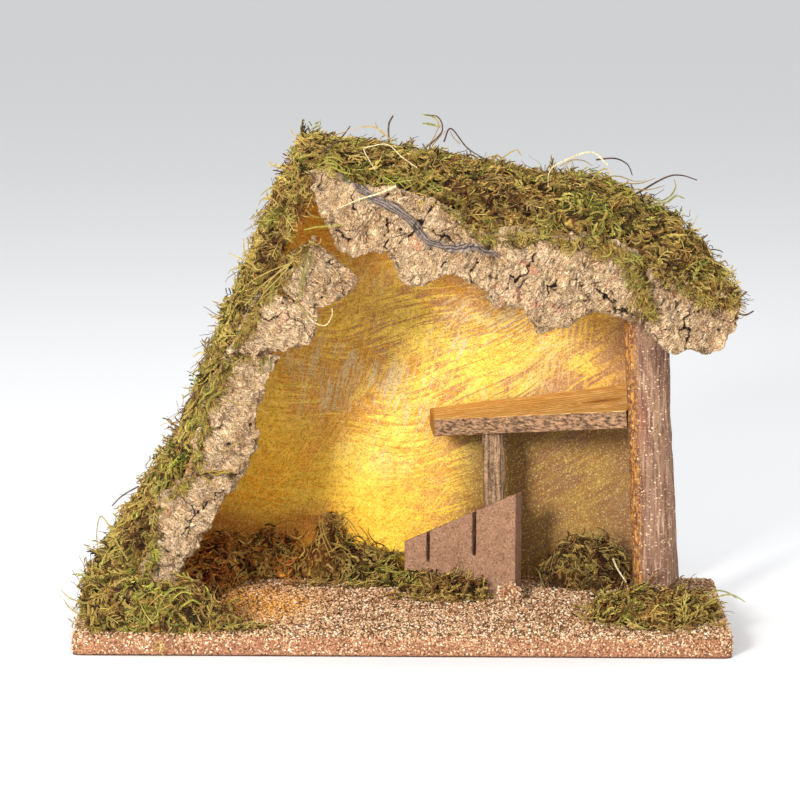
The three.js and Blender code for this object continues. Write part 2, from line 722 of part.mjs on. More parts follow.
function leftBarkStep() {
  const outer = belowRidge(LEFT_STEP_OUTER).map(onLeft);
  const inner = belowRidge(LEFT_STEP_INNER).map(onLeft);
  return barkSlab(11, 8, outer, inner, BARK_THICK);
}

function leftBarkTop() {
  const outer = belowRidge(LEFT_TOP_OUTER).map(onLeft);
  const inner = belowRidge(LEFT_TOP_INNER).map(onLeft);
  return barkSlab(12, 8, outer, inner, BARK_THICK + BARK_STEP_MORE);
}

// Moss on a sloping board, in the board's own group: x up or down the slope, z out of its face
function slopeMoss(columns, rows, frontEdge, backEdge, thick) {
  const plan = betweenEdges(frontEdge, backEdge);
  const geometry = padGeometry(columns, rows, plan, (point, t, v) => {
    const shoulder = Math.pow(Math.sin(Math.PI * THREE.MathUtils.clamp(v, 0.06, 0.94)), 0.3);
    return thick(t) * shoulder * (1 + 0.16 * mossLumps(point.x, point.y));
  });
  geometry.translate(0, 0, FIT_GAP);
  return geometry;
}

// Slanting seams part the clumps along a slope. A seam is its way along the slope and its slant,
// by which it comes in at the front and goes out at the back.
function slopeClump([start, startSlant], [end, endSlant], thick) {
  const from = start + CLUMP_GAP / 2;
  const to = end - CLUMP_GAP / 2;
  const middle = (from + to) / 2;
  const edgeAt = (y, side) => [
    [from + side * startSlant, y], [middle, y], [to + side * endSlant, y]];
  const backRim = BACK_Y - FIT_GAP;
  return slopeMoss(10, 9, edgeAt(ROOF_MOSS_FRONT, -1), edgeAt(backRim, 1), thick);
}

// Moss or loose grit heaped on the ground
function groundHeap(columns, rows, plan, rise) {
  const geometry = padGeometry(columns, rows, plan, rise);
  geometry.translate(0, 0, GROUND_Z);
  return geometry;
}

function roundHeap(centreX, centreY, { halfWidth, halfDepth, height }) {
  const rise = (point) => {
    const far = Math.hypot((point.x - centreX) / halfWidth, (point.y - centreY) / halfDepth);
    const dome = Math.sqrt(Math.max(0.08, 1 - far * far));
    return height * dome * (1 + 0.2 * mossLumps(point.x, point.y));
  };
  return groundHeap(9, 9, roundPlan(centreX, centreY, halfWidth, halfDepth), rise);
}

// Moss along the foot of the back wall, high at the wall and low in front
function wallMoss(columns, frontEdge, backEdge, height) {
  const rise = (point, t, v) => {
    const climb = 0.3 + 0.7 * Math.pow(v, 0.8);
    return height(t) * climb * (1 + 0.15 * mossLumps(point.x, point.y));
  };
  return groundHeap(columns, 7, betweenEdges(frontEdge, backEdge), rise);
}

function bump(t, centre, width) {
  return Math.exp(-Math.pow((t - centre) / width, 2));
}

function postMoss() {
  const heap = roundHeap(POST_FOOT_X - POST_HEAP_LEFT, POST_Y - POST_HEAP_AHEAD, POST_HEAP);
  return cutAway(heap, [ringStack(postRings(GRIT_GAP, FIT_GAP))]);
}

// A point before the fence, by its way along the front face from the left and its way ahead of it
function beforeFence([along, ahead]) {
  const turn = THREE.MathUtils.degToRad(FENCE_TURN);
  const x = FENCE_LEFT_X + along * Math.cos(turn) - ahead * Math.sin(turn);
  const y = FENCE_LEFT_Y - along * Math.sin(turn) - ahead * Math.cos(turn);
  return [x, y];
}

function fenceMoss() {
  const front = FENCE_MOSS_RIM.map(beforeFence);
  const back = [0, 1 / 3, 2 / 3, 1].map((share) => beforeFence([FENCE_MOSS_END * share, GRIT_GAP]));
  return wallMoss(10, front, back, () => FENCE_MOSS_HEIGHT);
}

function fenceGritHeap() {
  const [x, y] = beforeFence([FENCE_LENGTH, GRIT_HEAP_AHEAD]);
  return roundHeap(x, y, GRIT_HEAP);
}

// Moss between the left board's foot and the base's left edge
function sideMossFoot() {
  const outerX = SIDE_HEAP_INSET - BASE_WIDTH / 2;
  const innerX = LEFT_FOOT_X - SIDE_HEAP_GAP;
  const backY = BACK_Y - SIDE_HEAP_BACK;
  const outer = [[outerX, ROOF_MOSS_FRONT], [outerX, 0], [outerX + SIDE_HEAP_TAPER, backY]];
  const inner = [[innerX, ROOF_MOSS_FRONT], [innerX, 0], [innerX, backY]];
  const rise = (point) => SIDE_HEAP_HEIGHT * (1 + 0.12 * mossLumps(point.x, point.y));
  return groundHeap(12, 5, betweenEdges(outer, inner), rise);
}

// The heap in front of the left bark's foot
function cornerMoss() {
  const frontY = CORNER_HEAP_BACK - BASE_DEPTH / 2;
  const backY = BARK_FRONT - CLUMP_GAP;
  return roundHeap(LEFT_FOOT_X + CORNER_HEAP_RIGHT, (frontY + backY) / 2, {
    halfWidth: CORNER_HEAP_HALF_WIDTH,
    halfDepth: (backY - frontY) / 2,
    height: CORNER_HEAP_HEIGHT
  });
}

// A point before the back panel, by its x and its way ahead of the panel
function beforeWall([x, ahead]) {
  return [x, BACK_Y - FIT_GAP - ahead];
}

function wallClump(fromX, rim, height) {
  const front = rim.map(([right, ahead]) => beforeWall([fromX + right, ahead]));
  const back = rim.map(([right]) => beforeWall([fromX + right + WALL_RIM_SLANT, 0]));
  return wallMoss(13, front, back, height);
}

function wallMossLeft() {
  return wallClump(LEFT_FOOT_X, WALL_LEFT_RIM, () => WALL_LEFT_HEIGHT);
}

function wallMossMiddle() {
  const tuft = (t) => WALL_MIDDLE_HEIGHT + WALL_TUFT_HEIGHT * bump(t, 0.3, 0.14);
  return wallClump(FENCE_LEFT_X, WALL_MIDDLE_RIM, tuft);
}

function stallMoss() {
  return roundHeap(LOFT_CORNER_X - STALL_HEAP_LEFT, BACK_Y - STALL_HEAP_AHEAD, STALL_HEAP);
}

// Fasteners
const BASE_BRADS = BASE_BRADS_X.map((x) => [x, BASE_THICK / 2]);
const LEFT_BRADS = LEFT_BRADS_Z.map((z) => [leftFaceX(z, LEFT_THICK / 2), z]);
const RIGHT_BRADS = RIGHT_BRADS_X.map((x) => [x, rightFaceZ(x, RIGHT_THICK / 2)]);
const LOFT_BRADS = LOFT_BRADS_X.map((x) => [x, loftTopZ(x, BACK_Y) - LOFT_THICK / 2]);

function bradCutters(places) {
  return places.map(([x, z]) => bradCutter(x, z));
}

function bradCutter(x, z) {
  const radius = BRAD_RADIUS + FIT_GAP;
  const length = BRAD_LENGTH + 2;
  const cutter = new THREE.CylinderGeometry(radius, radius, length, BRAD_SIDES);
  cutter.translate(x, BACK_Y + PANEL_THICK + 1 - length / 2, z);
  return cutter;
}

// A brad driven in from behind, its head flat on the back panel
function brad(x, z) {
  const profile = [
    new THREE.Vector2(0, 1.2 - BRAD_LENGTH),
    new THREE.Vector2(BRAD_RADIUS, 2.4 - BRAD_LENGTH),
    new THREE.Vector2(BRAD_RADIUS, 0),
    new THREE.Vector2(BRAD_HEAD_RADIUS, 0),
    new THREE.Vector2(BRAD_HEAD_RADIUS, BRAD_HEAD_THICK),
    new THREE.Vector2(0, BRAD_HEAD_THICK)
  ];
  const geometry = new THREE.LatheGeometry(profile, BRAD_SIDES);
  geometry.translate(x, BACK_Y + PANEL_THICK, z);
  return geometry;
}

// One brad a mesh, numbered from the left or from below
function bradMeshes(name, places) {
  return places.map(([x, z], place) => pieceOf(`${name}_${place + 1}`, brad(x, z), FINISH.steel));
}

// A countersunk screw driven up from the underside
function screwProfile(grow, length, headZ) {
  const cone = SCREW_HEAD_RADIUS - SCREW_RADIUS;
  return [
    new THREE.Vector2(0, headZ),
    new THREE.Vector2(SCREW_HEAD_RADIUS + grow, headZ),
    new THREE.Vector2(SCREW_HEAD_RADIUS + grow, SCREW_SINK + grow),
    new THREE.Vector2(SCREW_RADIUS + grow, SCREW_SINK + grow + cone),
    new THREE.Vector2(SCREW_RADIUS + grow, length - SCREW_RADIUS),
    new THREE.Vector2(0, length)
  ];
}

function turnedUp(profile, x, y) {
  const geometry = new THREE.LatheGeometry(profile, SCREW_SIDES);
  geometry.rotateX(Math.PI / 2);
  geometry.translate(x, y, 0);
  return geometry;
}

function screwCutter(x, y, length) {
  return turnedUp(screwProfile(FIT_GAP, length + SCREW_RADIUS, -1), x, y);
}

function screw(x, y, length) {
  return turnedUp(screwProfile(0, length, SCREW_SINK - 0.2), x, y);
}

// The pieces that lie on a sloping board, in a group of their own
function slopeGroup(x, z, turn, pieces) {
  const group = new THREE.Group();
  group.position.set(x, 0, z);
  group.rotation.y = turn;
  group.add(...pieces);
  return group;
}


// A thickness that runs evenly from a clump's start to its end
function between([start, end]) {
  return (t) => THREE.MathUtils.lerp(start, end, t);
}

function rightClump() {
  const even = between(RIGHT_MOSS);
  const thick = (t) => even(t) + RIGHT_MOSS_HUMP * bump(t, 0.35, 0.3);
  return slopeClump(RIGHT_SEAMS[2], RIGHT_SEAMS[3], thick);
}

// The clump that rolls over the right board's end, behind the eave's bark
function eaveClump() {
  const start = FIT_GAP;
  const back = BACK_Y - EAVE_MOSS_BACK;
  const front = [[start, ROOF_MOSS_FRONT], [EAVE_MOSS_LENGTH, ROOF_MOSS_FRONT]];
  const rear = [[start, back], [EAVE_MOSS_LENGTH - EAVE_MOSS_TAPER, back]];
  return slopeMoss(6, 9, front, rear, between(EAVE_MOSS));
}

const leftMoss = slopeGroup(LEFT_FOOT_X, BASE_THICK, -LEFT_ANGLE, [
  pieceOf('side_moss_lower',
    slopeClump(LEFT_SEAMS[0], LEFT_SEAMS[1], between(SIDE_MOSS_LOWER)), FINISH.moss),
  pieceOf('side_moss_middle',
    slopeClump(LEFT_SEAMS[1], LEFT_SEAMS[2], between(SIDE_MOSS_MIDDLE)), FINISH.moss),
  pieceOf('side_moss_upper',
    slopeClump(LEFT_SEAMS[2], LEFT_SEAMS[3], between(SIDE_MOSS_UPPER)), FINISH.moss)
]);

const rightMoss = slopeGroup(RIDGE_X, RIDGE_Z, RIGHT_ANGLE, [
  pieceOf('roof_moss_ridge',
    slopeClump(RIGHT_SEAMS[0], RIGHT_SEAMS[1], between(RIDGE_MOSS)), FINISH.moss),
  pieceOf('roof_moss_middle',
    slopeClump(RIGHT_SEAMS[1], RIGHT_SEAMS[2], between(MIDDLE_MOSS)), FINISH.moss),
  pieceOf('roof_moss_right', rightClump(), FINISH.moss)
]);

const eaveTurn = THREE.MathUtils.degToRad(EAVE_MOSS_SLOPE);
const eaveMoss = slopeGroup(RIGHT_END_X + FIT_GAP, RIGHT_END_Z, eaveTurn, [
  pieceOf('eave_moss', eaveClump(), FINISH.moss)
]);

const stable = new THREE.Group();
stable.add(
  pieceOf('base_board', baseBoard(), FINISH.fibreboard),
  pieceOf('ground_grit', groundGrit(), FINISH.grit),
  pieceOf('back_panel', backPanel(), FINISH.paint),
  pieceOf('left_roof_board', leftRoofBoard(), FINISH.roofboard),
  pieceOf('right_roof_board', rightRoofBoard(), FINISH.roofboard),
  pieceOf('round_post', roundPost(), FINISH.postbark),
  pieceOf('stall_post', stallPost(), FINISH.stick),
  pieceOf('loft_board', loftBoard(), FINISH.loftwood),
  pieceOf('stall_fence', stallFence(), FINISH.fence),
  pieceOf('right_bark', rightBark(), FINISH.cork),
  pieceOf('eave_bark', eaveBark(), FINISH.cork),
  pieceOf('left_bark_foot', leftBarkFoot(), FINISH.cork),
  pieceOf('left_bark_middle', leftBarkMiddle(), FINISH.cork),
  pieceOf('left_bark_step', leftBarkStep(), FINISH.cork),
  pieceOf('left_bark_top', leftBarkTop(), FINISH.cork),
  leftMoss,
  rightMoss,
  eaveMoss,
  pieceOf('side_moss_foot', sideMossFoot(), FINISH.moss),
  pieceOf('corner_moss', cornerMoss(), FINISH.moss),
  pieceOf('wall_moss_left', wallMossLeft(), FINISH.moss),
  pieceOf('wall_moss_middle', wallMossMiddle(), FINISH.moss),
  pieceOf('fence_moss', fenceMoss(), FINISH.moss),
  pieceOf('fence_grit_heap', fenceGritHeap(), FINISH.grit),
  pieceOf('stall_moss', stallMoss(), FINISH.moss),
  pieceOf('post_moss', postMoss(), FINISH.moss),
  ...bradMeshes('base_brad', BASE_BRADS),
  ...bradMeshes('left_roof_brad', LEFT_BRADS),
  ...bradMeshes('right_roof_brad', RIGHT_BRADS),
  ...bradMeshes('loft_brad', LOFT_BRADS),
  pieceOf('round_post_screw', screw(POST_FOOT_X, POST_Y, POST_SCREW_LENGTH), FINISH.steel),
  pieceOf('stall_post_screw', screw(STICK_X, STICK_Y, STICK_SCREW_LENGTH), FINISH.steel)
);

export default stable;
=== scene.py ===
import itertools
import math

import bpy
import numpy as np
from mathutils import Matrix, Vector


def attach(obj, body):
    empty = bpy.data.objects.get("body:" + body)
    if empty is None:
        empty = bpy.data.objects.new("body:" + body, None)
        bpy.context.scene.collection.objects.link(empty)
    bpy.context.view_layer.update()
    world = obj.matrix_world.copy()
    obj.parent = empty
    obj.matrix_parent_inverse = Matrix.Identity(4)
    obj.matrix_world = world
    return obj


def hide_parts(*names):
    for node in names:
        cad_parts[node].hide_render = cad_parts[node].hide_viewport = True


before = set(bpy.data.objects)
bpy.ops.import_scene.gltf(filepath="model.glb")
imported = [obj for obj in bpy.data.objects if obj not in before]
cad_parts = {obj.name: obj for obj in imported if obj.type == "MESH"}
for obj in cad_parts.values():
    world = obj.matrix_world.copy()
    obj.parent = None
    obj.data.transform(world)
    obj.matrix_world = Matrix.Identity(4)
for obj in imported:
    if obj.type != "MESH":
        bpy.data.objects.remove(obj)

# The nativity stable, dressed: bark, moss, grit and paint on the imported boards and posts.
# Shapes are worked out in millimetres in the part's own frame, and turned into metres last.

MM = 0.001
FRONT = np.array([0.0, -1.0, 0.0])
UP = np.array([0.0, 0.0, 1.0])
VIEW_FROM = np.array([-2.0, -2689.0, 518.0])
VIEW_PITCH = math.radians(8.27)
VIEW_ROLL = math.radians(0.3)
VIEW_LENS = 220.9
VIEW_SIZE = 800
FILM = 36
SHARE = 1.0

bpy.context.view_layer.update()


# Numbers

def random(seed):
    return np.random.default_rng(seed)


def unit(vectors):
    vectors = np.asarray(vectors, float)
    length = np.linalg.norm(vectors, axis=-1, keepdims=True)
    return vectors / np.maximum(length, 1e-9)


def smooth_step(low, high, values):
    t = np.clip((values - low) / (high - low), 0, 1)
    return t * t * (3 - 2 * t)


def hashed(cells, seed):
    """A random value from 0 to 1 for each whole-numbered cell."""
    x, y, z = (cells[..., i].astype(np.uint64) for i in range(3))
    h = x * np.uint64(73856093) ^ y * np.uint64(19349663) ^ z * np.uint64(83492791)
    h = (h + np.uint64(seed * 7919 + 17)) & np.uint64(0xFFFFFFFF)
    for _ in range(2):
        h = ((h ^ (h >> np.uint64(15))) * np.uint64(0x2C1B3C6D)) & np.uint64(0xFFFFFFFF)
    return (h ^ (h >> np.uint64(13))).astype(float) / 0xFFFFFFFF


def lumps(points, size, seed):
    """Smooth random heights from -1 to 1, with lumps about one size wide."""
    scaled = points / np.asarray(size, float)
    cell = np.floor(scaled).astype(np.int64)
    inside = scaled - cell
    inside = inside * inside * (3 - 2 * inside)
    total = np.zeros(len(points))
    for corner in itertools.product((0, 1), repeat=3):
        weight = np.prod(np.where(corner, inside, 1 - inside), axis=1)
        total += weight * (2 * hashed(cell + np.array(corner), seed) - 1)
    return total


def rough(points, size, seed, layers=3):
    """Lumps with smaller lumps on them."""
    scale = np.asarray(size, float)
    return sum(lumps(points, scale / 2 ** i, seed + i) * 0.55 ** i for i in range(layers))


def seams(points, size, seed):
    """For random cells: the way to the nearest border, the way to the cell's middle, its own value."""
    scaled = points / np.asarray(size, float)
    cell = np.floor(scaled).astype(np.int64)
    nearest = np.full((len(points), 2), 9.0)
    own = np.zeros(len(points))
    for step in itertools.product((-1, 0, 1), repeat=3):
        near = cell + np.array(step)
        middle = near + np.stack([hashed(near, seed + i) for i in range(3)], axis=1)
        away = np.linalg.norm(scaled - middle, axis=1)
        closer = away < nearest[:, 0]
        nearest[:, 1] = np.where(closer, nearest[:, 0], np.minimum(nearest[:, 1], away))
        nearest[:, 0] = np.where(closer, away, nearest[:, 0])
        own = np.where(closer, hashed(near, seed + 3), own)
    return nearest[:, 1] - nearest[:, 0], nearest[:, 0], own


def shifts(points, size, seed):
    """Lumps in all three directions at once."""
    return np.stack([lumps(points, size, seed + i) for i in range(3)], axis=1)


def seen(points, depth):
    """Places in the upright plane at a depth, for points given in pixels of the view from the front."""
    u, v = np.array(points, float).T - VIEW_SIZE / 2
    pixels = VIEW_SIZE * VIEW_LENS / FILM
    right = (math.cos(VIEW_ROLL) * u + math.sin(VIEW_ROLL) * v) / pixels
    down = (math.cos(VIEW_ROLL) * v - math.sin(VIEW_ROLL) * u) / pixels
    c, s = math.cos(VIEW_PITCH), math.sin(VIEW_PITCH)
    rays = np.stack([right, c - s * down, -s - c * down], axis=1)
    return VIEW_FROM + rays * ((depth - VIEW_FROM[1]) / rays[:, 1:2])


def smooth_path(points, steps=6):
    """A line eased through points."""
    points = np.asarray(points, float)
    padded = np.concatenate([[2 * points[0] - points[1]], points, [2 * points[-1] - points[-2]]])
    line = []
    for a, b, c, d in zip(padded, padded[1:], padded[2:], padded[3:]):
        for t in np.arange(steps) / steps:
            line.append(0.5 * (2 * b + (c - a) * t + (2 * a - 5 * b + 4 * c - d) * t * t
                               + (3 * b - a - 3 * c + d) * t ** 3))
    return np.array(line + [points[-1]])


def even_path(points, spacing):
    """A smooth line through points, cut into even steps."""
    line = smooth_path(points)
    along = np.concatenate([[0], np.cumsum(np.linalg.norm(np.diff(line, axis=0), axis=1))])
    places = np.linspace(0, along[-1], max(5, int(along[-1] / spacing)))
    return np.stack([np.interp(places, along, line[:, i]) for i in range(3)], axis=1)


def line_distance(points, line):
    """How far points lie to one side or the other of a line of places, seen from the front."""
    flat = points[:, [0, 2]]
    nearest = np.full(len(points), 99.0)
    for a, b in zip(line[:-1, [0, 2]], line[1:, [0, 2]]):
        way = b - a
        along = np.clip((flat - a) @ way / (way @ way), 0, 1)
        off = flat - a - along[:, None] * way
        away = np.linalg.norm(off, axis=1)
        side = np.where(way[0] * off[:, 1] > way[1] * off[:, 0], 1, -1)
        nearest = np.where(away < np.abs(nearest), away * side, nearest)
    return nearest


# Meshes

def read(items, key, width, kind=float):
    """One property of a mesh's corners, loops or triangles, a row of numbers for each."""
    values = np.empty(len(items) * width, kind)
    items.foreach_get(key, values)
    return values.reshape(-1, width)


def cad_mesh(node):
    """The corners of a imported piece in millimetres, and its triangles."""
    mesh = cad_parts[node].data
    mesh.calc_loop_triangles()
    return read(mesh.vertices, "co", 3) / MM, read(mesh.loop_triangles, "vertices", 3, np.int32)


def fine_mesh(node, step):
    """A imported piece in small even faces: its corners, their outward normals and its faces."""
    piece = bpy.data.objects.new("fine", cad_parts[node].data.copy())
    bpy.context.scene.collection.objects.link(piece)
    remesh = piece.modifiers.new("fine", "REMESH")
    remesh.mode = "VOXEL"
    remesh.voxel_size = step * MM
    mesh = piece.evaluated_get(bpy.context.evaluated_depsgraph_get()).to_mesh()
    corners = read(mesh.vertices, "co", 3) / MM
    normals = read(mesh.vertices, "normal", 3)
    faces = read(mesh.loops, "vertex_index", 1, np.int32).reshape(-1, 4)
    bpy.data.objects.remove(piece)
    return corners, normals, faces


def make_piece(name, parts, material, replaced=(), smooth=False):
    """One piece from parts of corners, faces and named values at the corners."""
    mesh = bpy.data.meshes.new(name)
    corners = np.concatenate([part[0] for part in parts])
    starts = np.cumsum([0] + [len(part[0]) for part in parts])
    mesh.vertices.add(len(corners))
    mesh.vertices.foreach_set("co", (corners * MM).astype(np.float32).ravel())
    loops = np.concatenate([(part[1] + start).ravel() for part, start in zip(parts, starts)])
    sides = np.concatenate([np.full(len(part[1]), part[1].shape[1]) for part in parts])
    mesh.loops.add(len(loops))
    mesh.loops.foreach_set("vertex_index", loops.astype(np.int32))
    mesh.polygons.add(len(sides))
    first = np.concatenate([[0], np.cumsum(sides)[:-1]])
    mesh.polygons.foreach_set("loop_start", first.astype(np.int32))
    mesh.polygons.foreach_set("use_smooth", np.full(len(sides), smooth))
    mesh.update(calc_edges=True)
    for key in parts[0][2]:
        values = np.concatenate([part[2][key] for part in parts]).astype(np.float32)
        mesh.attributes.new(key, "FLOAT", "POINT").data.foreach_set("value", values)
    mesh.materials.append(material)
    piece = bpy.data.objects.new(name, mesh)
    bpy.context.scene.collection.objects.link(piece)
    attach(piece, "root")
    if replaced:
        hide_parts(*replaced)
    return piece


def surface_points(node, count, seed, wanted):
    """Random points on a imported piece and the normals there, thinned by wanted(points, normals)."""
    corners, triangles = cad_mesh(node)
    a, b, c = (corners[triangles[:, i]] for i in range(3))
    cross = np.cross(b - a, c - a)
    area = np.linalg.norm(cross, axis=1) / 2
    middle = (a + b + c) / 3
    weight = area * wanted(middle, unit(cross))
    rng = random(seed)
    pick = rng.choice(len(triangles), size=count, p=weight / weight.sum())
    u, v = rng.random((2, count, 1))
    flip = u + v > 1
    u, v = np.where(flip, 1 - u, u), np.where(flip, 1 - v, v)
    points = a[pick] + u * (b - a)[pick] + v * (c - a)[pick]
    return points, unit(cross)[pick], weight.sum()


def tube(points, radii, sides=3):
    """A closed tube along points: corners, triangles and each corner's place along it, 0 to 1."""
    points = np.asarray(points, float)
    forward = unit(np.gradient(points, axis=0))
    side = unit(np.cross(forward, np.where(np.abs(forward[:, 2:]) > 0.9, [1.0, 0, 0], UP)))
    top = np.cross(side, forward)
    turn = np.arange(sides) * 2 * math.pi / sides
    ring = np.cos(turn)[None, :, None] * side[:, None] + np.sin(turn)[None, :, None] * top[:, None]
    corners = points[:, None] + ring * np.broadcast_to(radii, len(points))[:, None, None]
    count = len(points)
    faces = []
    for i, j in itertools.product(range(count - 1), range(sides)):
        a, b = i * sides + j, i * sides + (j + 1) % sides
        faces += [[a, a + sides, b], [b, a + sides, b + sides]]
    for j in range(1, sides - 1):
        last = (count - 1) * sides
        faces += [[0, j, j + 1], [last, last + j + 1, last + j]]
    along = np.repeat(np.linspace(0, 1, count), sides)
    return corners.reshape(-1, 3), np.array(faces), along


# Moss shoots, grit chips: small models, and how they are spread over a surface

SLIVER = np.array([[0, 1, 2], [1, 3, 2], [3, 0, 2], [1, 0, 3]])  # the faces of a four-cornered leaf
STEM_STEPS = 7


def joined(parts):
    """Parts of corners, triangles and values made into one."""
    starts = np.cumsum([0] + [len(part[0]) for part in parts])
    return (
        np.concatenate([part[0] for part in parts]),
        np.concatenate([part[1] + start for part, start in zip(parts, starts)]),
        np.concatenate([part[2] for part in parts]),
    )


def leaves(points, forward, side, top, lengths, slant, width):
    """Slim curved leaves in pairs along a stem, as closed four-cornered slivers."""
    corners, faces = [], []
    for sign in (-1, 1):
        out = unit(math.cos(slant) * forward + math.sin(slant) * sign * side + 0.25 * top)
        tip = points + out * lengths[:, None] + 0.3 * lengths[:, None] * (forward - top)
        ridge = points + out * lengths[:, None] * 0.45 + top * width * 0.7
        low, high = points - forward * width, points + forward * width
        start = 4 * len(points) * len(corners)
        corners.append(np.stack([low, high, ridge, tip], axis=1).reshape(-1, 3))
        order = SLIVER[:, ::-1] if sign > 0 else SLIVER
        faces.append((start + 4 * np.arange(len(points))[:, None, None] + order).reshape(-1, 3))
    return np.concatenate(corners), np.concatenate(faces)


def leafy(points, rng, leaf, slant, width, back=UP):
    """A stem along points with leaves like a feather's: corners, faces, and how near each is to a tip."""
    count = len(points)
    along = np.linspace(0, 1, count)
    forward = unit(np.gradient(points, axis=0))
    side = unit(np.cross(back, forward))
    taper = 0.35 + 0.65 * np.sin(math.pi * (0.18 + 0.75 * along))
    lengths = leaf * taper * rng.uniform(0.75, 1.25, count)
    blades = leaves(points, forward, side, np.cross(forward, side), lengths, slant, width)
    picked = points[np.linspace(0, count - 1, max(4, count // 4)).astype(int)]
    stem_corners, stem_faces, stem_along = tube(picked, np.linspace(0.38, 0.12, len(picked)))
    tips = (rng.uniform(0.45, 1.15, (2 * count, 1)) * [0.1, 0.1, 0.7, 1.0]).ravel()
    return joined([(*blades, tips), (stem_corners, stem_faces, 0.15 + 0.2 * stem_along)])


def shoot(rng, length, spacing, leaf, curl, bend, slant=0.62, width=0.4):
    """A moss shoot that grows along +X with its back up, curls up by curl and to one side by bend."""
    count = max(4, int(length / spacing))
    along = np.linspace(0, 1, count)
    pitch = curl * (along - 0.3) + rng.normal(0, 0.12)
    sway = bend * along ** 1.4
    forward = np.stack([np.cos(pitch) * np.cos(sway), np.cos(pitch) * np.sin(sway), np.sin(pitch)], axis=1)
    return leafy(np.cumsum(forward * length / count, axis=0), rng, leaf, slant, width)


def frond(rng, length, branches):
    """A branched frond: a bare stem with small leafy shoots to both sides."""
    bend = rng.uniform(-0.8, 0.8)
    along = np.linspace(0, 1, STEM_STEPS)
    heading = bend * along ** 1.4
    steps = np.stack([np.cos(heading), np.sin(heading), 0.1 * np.sin(3 * along)], axis=1)
    stem = np.cumsum(steps * length / STEM_STEPS, axis=0)
    parts = [tube(stem, np.linspace(0.42, 0.16, STEM_STEPS))]
    for i in range(branches):
        place = 0.2 + 0.8 * i / branches
        at = np.array([np.interp(place, along, stem[:, k]) for k in range(3)])
        turn = np.interp(place, along, heading) + (-1) ** i * rng.uniform(0.55, 0.95)
        reach = length * 0.36 * (1.15 - 0.6 * place)
        small = shoot(rng, reach, 0.8, 1.2, rng.uniform(-0.8, 0.6), 0.5 * bend)
        c, s = math.cos(turn), math.sin(turn)
        parts.append((small[0] @ [[c, s, 0], [-s, c, 0], [0, 0, 1]] + at, small[1], small[2]))
    return joined(parts)


def tuft(rng, count):
    """A small star of leaves that spread from one point, mostly upwards."""
    turn = np.arange(count) * 2.4 + rng.uniform(0, 6)
    rise = rng.uniform(0.15, 1.2, count)
    out = np.stack([np.cos(turn) * np.cos(rise), np.sin(turn) * np.cos(rise), np.sin(rise)], axis=1)
    across = unit(np.cross(out, rng.normal(size=out.shape)))
    length = rng.uniform(2.0, 3.4, (count, 1))
    root = out * 0.2
    middle = root + out * length * 0.5
    corners = np.stack([root - across * 0.3, root + across * 0.3, middle + np.cross(across, out) * 0.34,
                        root + (out - [0, 0, 0.25]) * length], axis=1)
    faces = (4 * np.arange(count)[:, None, None] + SLIVER).reshape(-1, 3)
    tips = (rng.uniform(0.5, 1.1, (count, 1)) * [0.0, 0.0, 0.7, 1.0]).ravel()
    return corners.reshape(-1, 3), faces, tips


def dry_stem(rng, length):
    """A thin wiry stem, bare and bent."""
    turn = np.cumsum(rng.normal(0, 0.3, STEM_STEPS))
    lift = np.cumsum(rng.normal(0, 0.2, STEM_STEPS))
    steps = np.stack([np.cos(turn) * np.cos(lift), np.sin(turn), np.sin(lift)], axis=1)
    stem = np.cumsum(steps * length / STEM_STEPS, axis=0)
    corners, faces, along = tube(stem, np.linspace(0.27, 0.12, STEM_STEPS))
    return corners, faces, 0.1 + 0.2 * along


def chip(rng):
    """A crushed granule: an uneven six-cornered solid about 1 mm across."""
    corners = np.array([[1, 0, 0], [-1, 0, 0], [0, 1, 0], [0, -1, 0], [0, 0, 1], [0, 0, -1]], float)
    corners *= rng.uniform(0.35, 0.75, (6, 1)) * [1.25, 0.85, 0.8]
    corners += rng.normal(0, 0.09, (6, 3))
    faces = [[0, 2, 4], [2, 1, 4], [1, 3, 4], [3, 0, 4], [2, 0, 5], [1, 2, 5], [3, 1, 5], [0, 3, 5]]
    return corners, np.array(faces), np.linspace(0.2, 1, 6)


def spread(models, places, forward, top, sizes, values, seed):
    """One small model at each place, as a part with the values given for each place, and its tips."""
    pick = random(seed).integers(0, len(models), len(places))
    side = unit(np.cross(top, forward))
    frames = np.stack([forward, side, np.cross(forward, side)], axis=1)
    corners, faces, tips = [], [], []
    held = {key: [] for key in values}
    start = 0
    for i, (shape, triangles, tip) in enumerate(models):
        mine = pick == i
        count = int(mine.sum())
        placed = np.einsum("kj,njm->nkm", shape, frames[mine]) * sizes[mine][:, None, None]
        corners.append((placed + places[mine][:, None]).reshape(-1, 3))
        offset = start + len(shape) * np.arange(count)[:, None, None]
        faces.append((triangles[None] + offset).reshape(-1, 3))
        tips.append(np.tile(tip, count))
        for key in values:
            held[key].append(np.repeat(values[key][mine], len(shape)))
        start += len(shape) * count
    result = {key: np.concatenate(held[key]) for key in values}
    result["tip"] = np.concatenate(tips)
    return np.concatenate(corners), np.concatenate(faces), result


